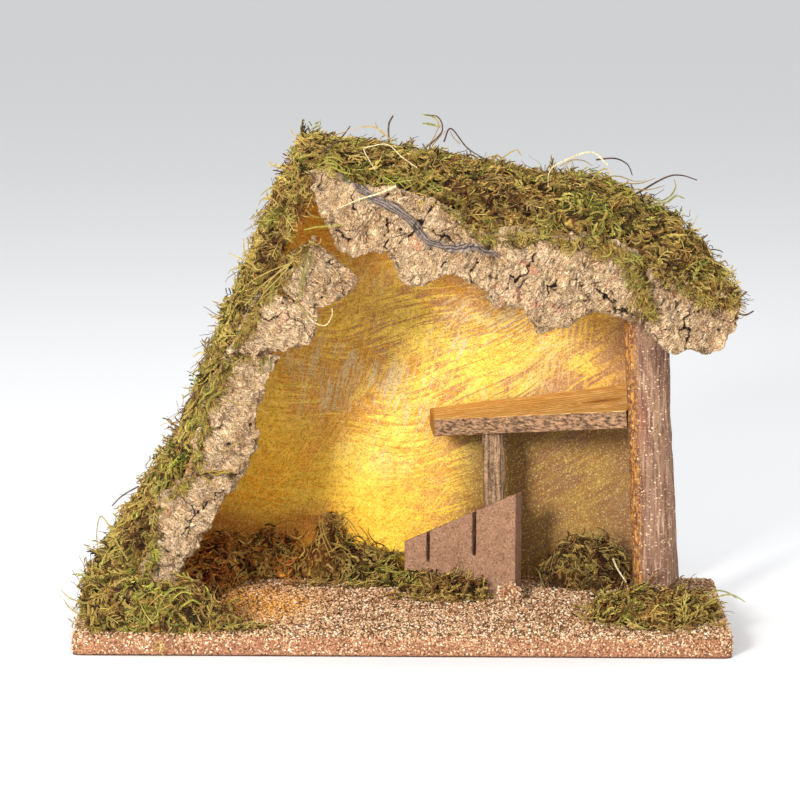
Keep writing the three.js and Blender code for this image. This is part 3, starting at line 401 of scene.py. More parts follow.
model_rng = random(11)
PLUMES = [
    shoot(model_rng, model_rng.uniform(7, 13), spacing, 2.1 * spacing + 0.1, curl, bend)
    for spacing in (0.76, 1.15)
    for curl, bend in ((-0.9, 0.6), (0.7, -0.9), (-1.3, 1.8), (0.4, -2.2), (1.1, 0.3), (-0.6, -1.4),
                       (0.9, 2.8), (-1.1, -3.0), (0.2, 1.2), (1.3, -0.5), (-0.8, 2.3), (0.5, -1.8))
]
TUFTS = [tuft(model_rng, count) for count in (8, 9, 10, 11)]
FRONDS = [frond(model_rng, model_rng.uniform(12, 17), 7) for _ in range(4)]
CURLS = [shoot(model_rng, length, 0.78, 0.95, curl, bend, 0.5, 0.32)
         for length, curl, bend in ((11, 0.8, 4.2), (13, -0.9, -3.8), (15, 1.0, 5.2), (9, -0.6, -4.4),
                                    (16, 0.7, 3.0), (14, -0.8, -5.2))]
LEAFY = (0.46, 0.08, 0.16, 0.05, 0.25)  # shares of plumes, fronds, curls, stems and tufts in most moss
WIRY = (0.2, 0.0, 0.5, 0.12, 0.18)
STRAGGLY = (0.2, 0.05, 0.7, 0.05, 0.0)
STEMS = [dry_stem(model_rng, model_rng.uniform(12, 24)) for _ in range(8)]
CHIPS = [chip(model_rng) for _ in range(12)]


def lying(normals, rng, comb, lift):
    """Directions along a surface: random, drawn towards comb, and lifted off it by about lift radians."""
    free = rng.normal(size=normals.shape)
    along = unit(0.8 * unit(free) + comb)
    along = unit(along - normals * np.sum(along * normals, axis=1, keepdims=True))
    rise = np.abs(rng.normal(0, lift, (len(normals), 1))) + 0.03
    return along * np.cos(rise) + normals * np.sin(rise)


GROWTH = np.array([[-194, -101, 4], [199, 106, 286]], float)  # how far shoots may reach: lowest, highest
ROOTS = (-2.6, 0.9)  # how far below and above the surface shoots start


def moss_tones(points, rng, green):
    """A tone from 0, brown, to 1, bright green, more alike in neighbouring shoots than in others."""
    patches = 0.42 + 0.26 * rough(points, 24, 5) + 0.16 * lumps(points, 8, 8)
    return np.clip(patches + green + rng.normal(0, 0.22, len(points)), 0, 1)


def planted(points, normals, seed, comb, lift, green, sizes=(0.7, 1.2), kinds=LEAFY):
    """Shoots, fronds, curls and dry stems planted at points: the parts of a clump."""
    parts = []
    rng = random(seed)
    picked = rng.choice(5, size=len(points), p=kinds)
    flow = np.asarray(comb, float) + 1.1 * shifts(points, 15, seed) + 0.5 * shifts(points, 6, seed + 3)
    for kind, models in enumerate((PLUMES, FRONDS, CURLS, STEMS, TUFTS)):
        mine = picked == kind
        places, away = points[mine], normals[mine]
        forward = lying(away, rng, flow[mine], lift)
        size = rng.uniform(*sizes, len(places))
        tones = moss_tones(places, rng, green)
        if models is STEMS:
            tones = tones * 0.4
        height = rng.uniform(*ROOTS, len(places))
        # the light value, higher for shoots that stand out of the clump, sets their painted light and shade
        light = np.clip(0.12 + 0.24 * (height - ROOTS[0]) + rng.normal(0, 0.16, len(places)), 0, 1)
        back = 0 if models is TUFTS else 4 * size[:, None]
        places = places + away * height[:, None] - forward * back
        ends = places + forward * (3 * back)
        inside = np.all((ends > GROWTH[0]) & (ends < GROWTH[1]), axis=1)
        kept = [rows[inside] for rows in (places, forward, away, size)]
        values = {"tone": tones[inside], "light": light[inside]}
        parts.append(spread(models, *kept, values, seed + kind))
    return parts


def moss_core(node, seed, ragged):
    """The matted inside of a clump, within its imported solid, with shreds of leaf all over."""
    corners, normals, faces = fine_mesh(node, 1.25)
    shreds = lumps(corners, 2.1, seed + 7)
    sunk_by = -1.8 + 1.1 * rough(corners, 7, seed) + 0.9 * shreds
    sunk_by -= ragged * smooth_step(-0.2, 0.6, lumps(corners, 13, seed + 9)) * (normals[:, 2] > 0.2)
    tone = 0.3 + 0.3 * lumps(corners, 4, seed + 4) + 0.3 * lumps(corners, 1.9, seed + 8)
    values = {
        "tone": np.clip(tone, 0, 1),
        # the core's low light values paint it in shade
        "light": np.clip(0.2 + 0.5 * shreds, 0, 0.8),
        "tip": np.clip(0.4 + 0.6 * lumps(corners, 1.6, seed + 5), 0, 1),
    }
    triangles = np.concatenate([faces[:, [0, 1, 2]], faces[:, [0, 2, 3]]])
    return corners + normals * sunk_by[:, None], triangles, values


# Nodes

def colour(code):
    """A paint colour from its six-figure code, as linear light."""
    parts = [int(code[i:i + 2], 16) / 255 for i in (0, 2, 4)]
    return tuple(c / 12.92 if c <= 0.04045 else ((c + 0.055) / 1.055) ** 2.4 for c in parts) + (1.0,)


class Tree:
    """One node tree, whose nodes are added with inputs given as sockets, numbers or colour codes."""

    def __init__(self, tree, material=None):
        self.tree = tree
        self.material = material
        self.shader = tree.nodes["Principled BSDF"].inputs if material else None

    def add(self, kind, inputs=None, **settings):
        node = self.tree.nodes.new(kind)
        for key, value in settings.items():
            setattr(node, key, value)
        for key, value in (inputs or {}).items():
            self.feed(node.inputs[key], value)
        return node

    def feed(self, socket, value):
        if isinstance(value, bpy.types.NodeSocket):
            self.tree.links.new(value, socket)
        elif isinstance(value, str):
            socket.default_value = colour(value)
        else:
            socket.default_value = value

    def math(self, operation, *values):
        return self.add("ShaderNodeMath", dict(enumerate(values)), operation=operation).outputs[0]

    def times(self, a, b):
        return self.math("MULTIPLY", a, b)

    def plus(self, a, b):
        return self.math("ADD", a, b)

    def minus(self, a, b):
        return self.math("SUBTRACT", a, b)

    def vector(self, operation, a, b):
        inputs = {0: a, "Scale" if operation == "SCALE" else 1: b}
        return self.add("ShaderNodeVectorMath", inputs, operation=operation).outputs[0]

    def length(self, vector):
        return self.add("ShaderNodeVectorMath", {0: vector}, operation="LENGTH").outputs["Value"]

    def axes(self, vector):
        return self.add("ShaderNodeSeparateXYZ", {"Vector": vector}).outputs

    def from_axes(self, x, y, z=0.0):
        return self.add("ShaderNodeCombineXYZ", {"X": x, "Y": y, "Z": z}).outputs[0]

    def span(self, value, low, high, to_low=0.0, to_high=1.0):
        """Value, from low to high, mapped smoothly onto another span."""
        return self.add("ShaderNodeMapRange", {
            "Value": value, "From Min": low, "From Max": high, "To Min": to_low, "To Max": to_high,
        }, interpolation_type="SMOOTHSTEP").outputs[0]

    def mix(self, share, a, b):
        return self.add("ShaderNodeMix", {0: share, 6: a, 7: b}, data_type="RGBA").outputs[2]

    def ramp(self, value, stops):
        node = self.add("ShaderNodeValToRGB", {"Fac": value})
        band = node.color_ramp
        while len(band.elements) < len(stops):
            band.elements.new(0.5)
        for element, (place, code) in zip(band.elements, stops):
            element.position = place
            element.color = colour(code)
        return node.outputs["Color"]

    def noise(self, place, scale, detail=3.0, roughness=0.55):
        return self.add("ShaderNodeTexNoise", {
            "Vector": place, "Scale": scale, "Detail": detail, "Roughness": roughness,
        }).outputs["Fac"]

    def drift(self, place, scale, detail):
        """Three noises at once, to shift places by."""
        return self.add("ShaderNodeTexNoise", {
            "Vector": place, "Scale": scale, "Detail": detail,
        }).outputs["Color"]

    def cells(self, place, scale):
        return self.add("ShaderNodeTexVoronoi", {"Vector": place, "Scale": scale}).outputs["Distance"]

    def stretched(self, place, factors):
        return self.add("ShaderNodeMapping", {"Vector": place, "Scale": factors}).outputs[0]

    def turned(self, place, angles):
        return self.add("ShaderNodeMapping", {"Vector": place, "Rotation": angles}).outputs[0]

    def value_at(self, name):
        return self.add("ShaderNodeAttribute", attribute_name=name).outputs["Fac"]

    def normals(self):
        return self.axes(self.add("ShaderNodeNewGeometry").outputs["Normal"])

    def group(self, made, **inputs):
        return self.add("ShaderNodeGroup", inputs, node_tree=made).outputs

    def show(self, paint, height, strength, distance):
        """Feeds the shader its colour and its bump, and gives the finished material."""
        self.feed(self.shader["Base Color"], paint)
        bump = self.add("ShaderNodeBump", {
            "Height": height, "Strength": strength, "Distance": distance * MM,
        })
        self.feed(self.shader["Normal"], bump.outputs[0])
        return self.material


def shared_group(name, inputs, outputs, build):
    """A node group with named inputs and outputs, filled in by build(tree, inputs)."""
    made = bpy.data.node_groups.new(name, "ShaderNodeTree")
    kinds = {"value": "NodeSocketFloat", "colour": "NodeSocketColor", "vector": "NodeSocketVector"}
    for label, (kind, start) in inputs.items():
        socket = made.interface.new_socket(label, in_out="INPUT", socket_type=kinds[kind])
        socket.default_value = start
    for label, kind in outputs.items():
        made.interface.new_socket(label, in_out="OUTPUT", socket_type=kinds[kind])
    tree = Tree(made)
    given = tree.add("NodeGroupInput").outputs
    results = build(tree, given)
    leaving = tree.add("NodeGroupOutput")
    for label, socket in results.items():
        tree.feed(leaving.inputs[label], socket)
    return made


HALVES = (0.5, 0.5, 0.5)  # the middle of what a noise gives


def speckle(tree, given):
    """Fine dark and light specks, as sawn and pressed board shows."""
    fine = tree.noise(given["Place"], given["Scale"], 2.0, 0.7)
    coarse = tree.noise(given["Place"], tree.times(given["Scale"], 0.23), 3.0, 0.6)
    dark = tree.span(fine, 0.5, 0.36)
    light = tree.span(fine, 0.56, 0.7)
    share = tree.times(dark, given["Darkness"])
    shaded = tree.mix(share, given["Colour"], given["Dark"])
    lit = tree.mix(tree.times(light, given["Lightness"]), shaded, given["Light"])
    mottled = tree.mix(tree.span(coarse, 0.35, 0.65, 0.0, 0.22), lit, given["Dark"])
    return {"Colour": mottled, "Height": fine}


SPECKLE = shared_group("Fine specks", {
    "Place": ("vector", (0, 0, 0)), "Scale": ("value", 900.0), "Colour": ("colour", (1, 1, 1, 1)),
    "Dark": ("colour", (0, 0, 0, 1)), "Light": ("colour", (1, 1, 1, 1)),
    "Darkness": ("value", 0.5), "Lightness": ("value", 0.4),
}, {"Colour": "colour", "Height": "value"}, speckle)


def specked(tree, place, scale, paint, dark, light, darkness, lightness):
    return tree.group(SPECKLE, Place=place, Scale=scale, Colour=paint, Dark=dark, Light=light,
                      Darkness=darkness, Lightness=lightness)


def overspray(tree, given):
    """Thin paint that drifted onto a surface round one spot, in fine dots at its rim."""
    away = tree.vector("MULTIPLY", tree.vector("SUBTRACT", given["Place"], given["Spot"]), given["Squeeze"])
    near = tree.span(tree.length(away), 1.0, 0.35)
    dots = tree.noise(given["Place"], 700.0, 2.0, 0.6)
    share = tree.times(tree.times(near, tree.span(dots, 0.3, 0.62)), given["Amount"])
    return {"Colour": tree.mix(share, given["Colour"], given["Paint"])}


OVERSPRAY = shared_group("Drifted paint", {
    "Place": ("vector", (0, 0, 0)), "Spot": ("vector", (0, 0, 0)), "Squeeze": ("vector", (10, 10, 10)),
    "Colour": ("colour", (1, 1, 1, 1)), "Paint": ("colour", (1, 0.5, 0, 1)), "Amount": ("value", 1.0),
}, {"Colour": "colour"}, overspray)


def strokes(tree, given):
    """Dry brush strokes that sweep in arcs round one middle, broken up into patches."""
    from_middle = tree.vector("SUBTRACT", given["Place"], given["Middle"])
    drift = tree.vector("SUBTRACT", tree.drift(given["Place"], 9.0, 1.0), HALVES)
    bent = tree.axes(tree.vector("ADD", from_middle, tree.vector("SCALE", drift, 0.045)))
    angle = tree.math("ARCTAN2", bent["Z"], bent["X"])
    squares = [tree.math("POWER", bent[axis], 2.0) for axis in "XZ"]
    distance = tree.math("SQRT", tree.plus(*squares))
    swept = tree.from_axes(tree.times(angle, given["Along"]), tree.times(distance, given["Across"]))
    bristles = tree.noise(swept, 1.0, 5.0, 0.68)
    patch = tree.noise(tree.vector("ADD", given["Place"], given["Middle"]), given["Patch"], 2.0, 0.5)
    cover = tree.plus(tree.times(tree.span(bristles, 0.3, 0.7), 0.62),
                      tree.times(tree.span(patch, 0.33, 0.67), 0.38))
    low = tree.minus(1.0, given["Cover"])
    return {"Mask": tree.span(cover, low, tree.plus(low, given["Softness"]))}


STROKES = shared_group("Dry brush strokes", {
    "Place": ("vector", (0, 0, 0)), "Middle": ("vector", (0, 0, 0)), "Along": ("value", 3.0),
    "Across": ("value", 500.0), "Patch": ("value", 16.0), "Cover": ("value", 0.5),
    "Softness": ("value", 0.08),
}, {"Mask": "value"}, strokes)


def wood_grain(tree, given):
    """Long wavy grain lines along the first direction of the place given."""
    wavy = tree.noise(given["Place"], 14.0, 2.0, 0.5)
    lines = tree.stretched(given["Place"], (22.0, 520.0, 520.0))
    waved = tree.vector("ADD", lines, tree.vector("SCALE", (1.0, 4.0, 4.0), wavy))
    fibres = tree.noise(waved, 1.6, 4.0, 0.6)
    shade = tree.mix(tree.span(fibres, 0.34, 0.68), given["Dark"], given["Light"])
    return {"Colour": shade, "Height": fibres}


WOOD_GRAIN = shared_group("Wood grain", {
    "Place": ("vector", (0, 0, 0)), "Dark": ("colour", (0, 0, 0, 1)), "Light": ("colour", (1, 1, 1, 1)),
}, {"Colour": "colour", "Height": "value"}, wood_grain)


def new_material(name, roughness, specular):
    """A new material's tree and its places, with the plain numbers set on the shader's own sockets."""
    material = bpy.data.materials.new(name)
    material.use_nodes = True
    tree = Tree(material.node_tree, material)
    tree.shader["Roughness"].default_value = roughness
    tree.shader["Specular IOR Level"].default_value = specular
    return tree, tree.add("ShaderNodeTexCoord").outputs["Object"]


def moss_material(name, tones, spray=0.0):
    """Moss from its brownest to its brightest tone, with that much paint drifted onto it."""
    tree, place = new_material(name, 0.85, 0.2)
    tip = tree.value_at("tip")
    tones = tones.split()
    stops = [(i / (len(tones) - 1), code) for i, code in enumerate(tones)]
    leaf = tree.ramp(tree.value_at("tone"), stops)
    grain = tree.noise(place, 420.0, 2.0, 0.6)
    light = tree.value_at("light")
    # painted shade darkens each leaf's base and a painted highlight lightens its tip, by the tip value
    shaded = tree.mix(tree.span(tip, 0.05, 0.55, 0.85, 0.0), leaf, "1E1008")
    lit = tree.mix(tree.span(tip, 0.5, 1.0, 0.0, 0.6), shaded, "F0DC84")
    # painted light on shoots near the clump's outside and painted shade on deep ones, by each shoot's light
    # value
    pale = tree.mix(tree.span(light, 0.6, 1.0, 0.0, 0.3), lit, "F0DC80")
    depth_shade = tree.mix(tree.span(light, 0.08, 0.66, 0.95, 0.0), pale, "180D06")
    mottled = tree.mix(tree.span(grain, 0.3, 0.7, 0.25, 0.0), depth_shade, "4A3218")
    if spray:
        painted = tree.group(OVERSPRAY, Place=place, Spot=(-0.085, 0.07, 0.045), Squeeze=(16.0, 8.0, 16.0),
                             Colour=mottled, Paint="DE8228", Amount=spray)
        mottled = painted["Colour"]
    return tree.show(mottled, grain, 0.3, 0.3)


def bark_material():
    tree, place = new_material("cork bark", 0.9, 0.2)
    hollow = tree.value_at("hollow")
    tone = tree.value_at("tone")
    drift = tree.vector("SUBTRACT", tree.drift(place, 70.0, 2.0), HALVES)
    bent = tree.vector("ADD", place, tree.vector("SCALE", drift, 0.014))
    fine = tree.noise(place, 1500.0, 3.0, 0.7)
    across = tree.value_at("across")
    depth = tree.axes(bent)["Y"]
    along = tree.value_at("along")
    swirl = tree.from_axes(tree.times(across, 0.8), tree.times(depth, 400.0), tree.times(along, 0.15))
    wrinkles = tree.noise(swirl, 1.0, 3.0, 0.6)
    lines = tree.math("ABSOLUTE", tree.minus(wrinkles, 0.5))
    base = tree.ramp(tone, [
        (0.0, "AE8658"), (0.25, "D4A674"), (0.5, "ECC28E"),
        (0.72, "FAD4A2"), (0.84, "F8C090"), (1.0, "E69668"),
    ])
    clear = tree.span(tree.noise(place, 75.0, 2.0), 0.4, 0.62, 0.25, 1.0)
    line_share = tree.times(tree.span(lines, 0.03, 0.006, 0.0, 0.95), clear)
    lined = tree.mix(line_share, base, "3E2A1E")
    short = tree.from_axes(tree.times(across, 1.25), tree.times(depth, 700.0), tree.times(along, 0.34))
    dashes = tree.noise(short, 1.0, 2.0, 0.55)
    dashed = tree.mix(tree.span(dashes, 0.4, 0.33, 0.0, 0.85), lined, "4A3425")
    lit = tree.mix(tree.span(dashes, 0.58, 0.68, 0.0, 0.6), dashed, "F8E6CC")
    shaded = tree.mix(tree.span(wrinkles, 0.44, 0.34, 0.0, 0.22), lit, "8A6A4C")
    pores = tree.cells(bent, 430.0)
    pored = tree.mix(tree.times(tree.span(pores, 0.2, 0.1, 0.0, 0.85), clear), shaded, "34241A")
    speckled = specked(tree, place, 1500.0, pored, "4A3424", "FFF4E2", 0.74, 0.7)
    root = tree.mix(tree.span(tone, 0.1, 0.9), "55463C", "A8968A")
    veined = tree.mix(tree.value_at("vein"), speckled["Colour"], root)
    # hollows darken: partly the cracks' own dark colour, partly painted shade in cracks, creases, pits and
    # low ground
    crack_colour_and_shade = tree.mix(tree.span(hollow, 0.12, 0.85), veined, "2A1D15")
    tree.feed(tree.shader["Roughness"], tree.span(hollow, 0.0, 0.6, 0.82, 0.98))
    height = tree.plus(fine, tree.times(tree.span(lines, 0.0, 0.12), 1.6))
    return tree.show(crack_colour_and_shade, height, 1.0, 0.6)


def grit_material():
    tree, place = new_material("grit chips", 0.8, 0.3)
    chip_colour = tree.ramp(tree.value_at("tone"), [
        (0.0, "4E2C1A"), (0.2, "90603C"), (0.42, "C2946A"),
        (0.68, "E0BC90"), (0.88, "F8E8CC"), (1.0, "BC7C4E"),
    ])
    worn = tree.mix(tree.span(tree.noise(place, 900.0), 0.35, 0.6, 0.3, 0.0), chip_colour, "5A3A22")
    painted = tree.group(OVERSPRAY, Place=place, Spot=(-0.1, 0.0, 0.012), Squeeze=(14.0, 12.0, 20.0),
                         Colour=worn, Paint="E8A024", Amount=0.8)
    return tree.show(painted["Colour"], tree.noise(place, 1300.0), 0.4, 0.2)


def grit_bed_material():
    tree, place = new_material("grit bed", 0.95, 0.15)
    grains = tree.cells(place, 760.0)
    # painted shade in the gaps between grains: each grain lightest at its middle, darkest at its rim
    grains_and_shaded_gaps = tree.mix(tree.span(grains, 0.25, 0.75), "B88A60", "4A2E1A")
    mottled = specked(tree, place, 1100.0, grains_and_shaded_gaps, "22140A", "E8C79C", 0.6, 0.6)
    return tree.show(mottled["Colour"], tree.minus(1.0, grains), 0.9, 0.8)


def fibreboard_material():
    tree, place = new_material("stained fibreboard", 0.85, 0.25)
    stain = tree.mix(tree.noise(place, 60.0), "8A5A40", "AC7A58")
    specks = specked(tree, place, 900.0, stain, "2C160C", "F0C29C", 0.9, 0.6)
    # painted contact shadow: the board darkens over its lowest millimetre
    foot = tree.mix(tree.span(tree.axes(place)["Z"], 0.0011, 0.0005, 0.0, 0.85), specks["Colour"], "2A1C14")
    return tree.show(foot, specks["Height"], 0.5, 0.4)


def wall_material():
    """The back panel: bare pressed board behind, brushed gold and yellow paint in front."""
    tree, place = new_material("brushed gold paint", 0.62, 0.2)
    where = tree.axes(place)
    cloud = tree.noise(place, 13.0, 3.0, 0.55)
    bare = tree.mix(tree.noise(place, 90.0), "9C7450", "BA8E66")
    # under the loft the wall is painted darker, partly for its bare brownish board and partly as painted
    # shade
    shelter = tree.times(tree.span(where["X"], 0.02, 0.05), tree.span(where["Z"], 0.125, 0.1))
    edge = tree.plus(where["X"], tree.times(tree.minus(cloud, 0.5), 0.16))
    orange = tree.mix(tree.span(cloud, 0.35, 0.65), "F89C18", "FFBC34")
    body = tree.mix(tree.span(edge, 0.1, -0.01), bare, orange)
    from_glow = tree.vector("MULTIPLY", tree.vector("SUBTRACT", place, (0.012, 0.0, 0.145)), (0.9, 0.0, 1.1))
    glow = tree.span(tree.length(from_glow), 0.12, 0.025)
    sweeps = [
        ((0.06, 0.0, 0.24), 5.0, 260.0, 13.0, 0.5, 0.22, "F8BC3C", "D88A14", 0.7, 0.1),
        ((-0.03, 0.0, 0.3), 5.0, 460.0, 22.0, 0.5, 0.07, "FFEC70", "FFD044", 0.95, 0.0),
        ((0.05, 0.0, 0.03), 4.0, 340.0, 17.0, 0.5, 0.2, "E0B44C", "D8A23A", 0.7, 0.5),
        ((-0.16, 0.0, 0.19), 4.5, 520.0, 23.0, 0.42, 0.12, "F4D468", "EABC44", 0.85, 0.1),
        ((0.09, 0.0, 0.10), 4.0, 700.0, 28.0, 0.38, 0.08, "E4D4A6", "DCC68E", 0.85, 0.7),
    ]
    body = tree.mix(tree.times(glow, 0.85), body, "BC9266")
    heights = []
    for middle, along, across, patch, cover, soft, light, dark, amount, drawn_in in sweeps:
        stroke = tree.group(STROKES, Place=place, Middle=middle, Along=along, Across=across,
                            Patch=patch, Cover=cover, Softness=soft)
        here = tree.span(glow, 0.0, 1.0, amount * (1 - drawn_in), amount)
        share = tree.times(tree.times(stroke["Mask"], here), tree.span(edge, 0.135, 0.07))
        paint = tree.mix(tree.noise(place, 40.0), dark, light)
        paint = tree.mix(tree.span(glow, 0.1, 0.55), "FFD246", paint)
        body = tree.mix(share, body, paint)
        heights.append(share)
    bare_board_and_shade = tree.mix(0.18, "74583E", body)
    body = tree.mix(tree.times(shelter, 0.95), body, bare_board_and_shade)
    left_rim = tree.plus(where["X"], tree.times(where["Z"], -0.37))
    rims = tree.math("MAXIMUM", tree.span(where["Z"], 0.19, 0.25), tree.span(left_rim, -0.12, -0.175))
    body = tree.mix(tree.times(rims, 0.55), body, "E89410")
    ragged = tree.plus(where["Z"], tree.times(tree.minus(cloud, 0.5), 0.05))
    # painted shadow of the stall stick, a dark band just right of it under the loft
    shaded = tree.times(shelter, tree.span(where["X"], 0.092, 0.064, 0.0, 0.45))
    body = tree.mix(shaded, body, "4A3018")
    low = tree.span(ragged, 0.062, 0.04, 0.0, 0.75)
    body = tree.mix(tree.times(low, tree.span(edge, 0.0, -0.05)), body, "9A4A16")
    specks = specked(tree, place, 1150.0, body, "80460A", "FCDC88", 0.52, 0.55)
    backing = specked(tree, place, 600.0, "7A5233", "3E2818", "9C7450", 0.6, 0.5)
    behind = tree.span(where["Y"], 0.0897, 0.0903)
    paint = tree.mix(behind, specks["Colour"], backing["Colour"])
    ridges = tree.plus(heights[0], tree.plus(heights[1], heights[2]))
    tree.feed(tree.shader["Roughness"], tree.span(ridges, 0.0, 1.5, 0.85, 0.65))
    return tree.show(paint, tree.plus(ridges, specks["Height"]), 0.4, 0.35)


def roof_board_material():
    tree, place = new_material("roof board", 0.75, 0.3)
    wood = tree.group(WOOD_GRAIN, Place=tree.turned(place, (0.0, 0.0, 1.5708)),
                      Dark="8A5F36", Light="B98D5C")
    facing = tree.normals()
    under = tree.math("MAXIMUM", tree.span(facing["X"], 0.3, 0.7), tree.span(facing["Z"], -0.5, -0.8))
    paint = tree.mix(tree.noise(place, 50.0), "C47408", "DE9014")
    body = tree.mix(under, wood["Colour"], paint)
    specks = specked(tree, place, 800.0, body, "6A3E0A", "F2C25A", 0.45, 0.25)
    return tree.show(specks["Colour"], wood["Height"], 0.4, 0.4)


def post_material():
    tree, place = new_material("branch bark", 0.75, 0.3)
    where = tree.axes(place)
    ridged = tree.noise(tree.stretched(place, (800.0, 800.0, 60.0)), 1.0, 4.0, 0.62)
    broad = tree.noise(tree.stretched(place, (75.0, 75.0, 15.0)), 1.0, 3.0, 0.5)
    base = tree.ramp(broad, [
        (0.3, "5A3C2E"), (0.42, "74503E"), (0.55, "8C6A52"),
        (0.66, "7C523E"), (0.76, "AC5E36"),
    ])
    lined = tree.mix(tree.span(ridged, 0.5, 0.36, 0.0, 0.75), base, "4A3128")
    light_lines = tree.mix(tree.span(ridged, 0.54, 0.7, 0.0, 0.6), lined, "C4AB92")
    side = tree.minus(where["X"], tree.math("MULTIPLY_ADD", where["Z"], -0.04, 0.1425))
    stray = tree.times(tree.span(side, -0.0058, -0.0104), tree.span(ridged, 0.36, 0.56, 0.25, 0.95))
    painted = tree.mix(stray, light_lines, tree.mix(
        tree.span(tree.noise(place, 420.0), 0.4, 0.6), "6E3C1C", "C48A3C"))
    uneven = tree.vector("ADD", place, tree.vector("SCALE", tree.drift(place, 420.0, 2.0), 0.0016))
    dots = tree.cells(tree.stretched(uneven, (330.0, 330.0, 520.0)), 1.0)
    unlike = tree.span(tree.noise(place, 300.0), 0.38, 0.58, 0.1, 0.85)
    spotted = tree.mix(tree.times(tree.span(dots, 0.28, 0.16), unlike), painted, "E4CCA0")
    flecks = tree.cells(tree.stretched(uneven, (520.0, 520.0, 1300.0)), 1.0)
    spotted = tree.mix(tree.span(flecks, 0.26, 0.14, 0.0, 0.7), spotted, "D0B490")
    height = tree.plus(ridged, tree.span(dots, 0.3, 0.18, 0.0, 0.4))
    return tree.show(spotted, height, 0.8, 0.6)


def loft_material():
    tree, place = new_material("loft board", 0.7, 0.3)
    where = tree.axes(place)
    knot = tree.vector("SUBTRACT", place, (0.112, 0.045, 0.125))
    knot_far = tree.length(tree.vector("MULTIPLY", knot, (0.55, 1.3, 0.0)))
    rings = tree.add("ShaderNodeTexWave", {
        "Vector": tree.vector("MULTIPLY", place, (0.2, 1.0, 0.3)), "Scale": 60.0, "Distortion": 5.0,
        "Detail": 3.0, "Detail Scale": 1.2,
    }, bands_direction="Y").outputs["Fac"]
    knot_rings = tree.math("SINE", tree.times(knot_far, 1900.0))
    near = tree.span(knot_far, 0.016, 0.006)
    figure = tree.mix(near, rings, tree.math("MULTIPLY_ADD", knot_rings, 0.4, 0.4))
    painted = tree.mix(tree.span(figure, 0.1, 0.9), "DC9C44", "FCD07E")
    heart = tree.mix(tree.span(knot_far, 0.0075, 0.003), painted, "B4742E")
    long_place = tree.vector("MULTIPLY", place, (0.3, 1.0, 1.0))
    sawn = tree.group(WOOD_GRAIN, Place=long_place, Dark="3E281A", Light="B48A64")
    body = tree.mix(tree.span(tree.normals()["Z"], 0.5, 0.8), sawn["Colour"], heart)
    specks = specked(tree, long_place, 2400.0, body, "3A2414", "EBC684", 0.22, 0.25)
    left_end = tree.span(where["X"], 0.0185, 0.0165, 0.0, 0.7)
    return tree.show(tree.mix(left_end, specks["Colour"], "B4762C"), sawn["Height"], 0.6, 0.5)


def stick_material():
    tree, place = new_material("sawn stick", 0.85, 0.25)
    upright = tree.turned(place, (0.0, 1.5708, 0.0))
    wood = tree.group(WOOD_GRAIN, Place=upright, Dark="54402E", Light="B08C6A")
    specks = specked(tree, place, 850.0, wood["Colour"], "2C1D12", "C9AE8C", 0.55, 0.35)
    return tree.show(specks["Colour"], wood["Height"], 0.6, 0.5)


def fence_material():
    tree, place = new_material("fence board", 0.85, 0.25)
    stained = tree.mix(tree.noise(place, 45.0), "8E6850", "A57E62")
    specks = specked(tree, place, 1000.0, stained, "4E3424", "D0A988", 0.6, 0.4)
    worn = tree.mix(tree.span(tree.value_at("hollow"), 0.2, 0.8), specks["Colour"], "2E1E14")
    return tree.show(worn, specks["Height"], 0.5, 0.3)


def steel_material():
    tree, place = new_material("dull steel", 0.42, 0.5)
    tree.shader["Metallic"].default_value = 1.0
    worn = tree.noise(place, 1500.0)
    return tree.show(tree.mix(tree.span(worn, 0.4, 0.6), "77736E", "A8A49E"), worn, 0.2, 0.1)


def stalk_material(name, dark, light):
    tree, place = new_material(name, 0.6, 0.35)
    fibres = tree.noise(tree.stretched(place, (900.0, 900.0, 260.0)), 1.0)
    return tree.show(tree.mix(tree.span(fibres, 0.35, 0.65), dark, light), fibres, 0.4, 0.15)


MOSS = moss_material("moss", "5A2810 864A22 AC7836 C8A252 B4983E 948A30 708630 C8C846", 0.3)
PAINTED_MOSS = moss_material("moss with stray paint", "84361A D06426 FF9438 FFB848 FFD860 FFEC98")
BARK = bark_material()
GRIT = grit_material()
GRIT_BED = grit_bed_material()
FIBREBOARD = fibreboard_material()
WALL = wall_material()
ROOF_BOARD = roof_board_material()
POST_BARK = post_material()
LOFT = loft_material()
STICK = stick_material()
FENCE = fence_material()
STEEL = steel_material()
STRAW = stalk_material("pale straw", "B09C70", "DCCDA4")
TWIG = stalk_material("dark twig", "2E2019", "5A4030")


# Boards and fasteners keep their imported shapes

def finish_node(node, material):
    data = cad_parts[node].data
    data.materials.clear()
    data.materials.append(material)


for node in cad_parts:
    if "brad" in node or "screw" in node:
        finish_node(node, STEEL)
finish_node("base_board", FIBREBOARD)
finish_node("ground_grit", GRIT_BED)
finish_node("back_panel", WALL)
finish_node("left_roof_board", ROOF_BOARD)
finish_node("right_roof_board", ROOF_BOARD)


# Cork bark

LEFT_SLOPE = math.atan2(256, 92)  # of the left roof board, from the level
RIGHT_SLOPE = math.radians(-12)


def turned(points, slope):
    """Points with their first measure along a slab that slopes by that angle."""
    c, s = math.cos(slope), math.sin(slope)
    x, y, z = points.T
    return np.stack([x * c + z * s, y, z * c - x * s], axis=1)


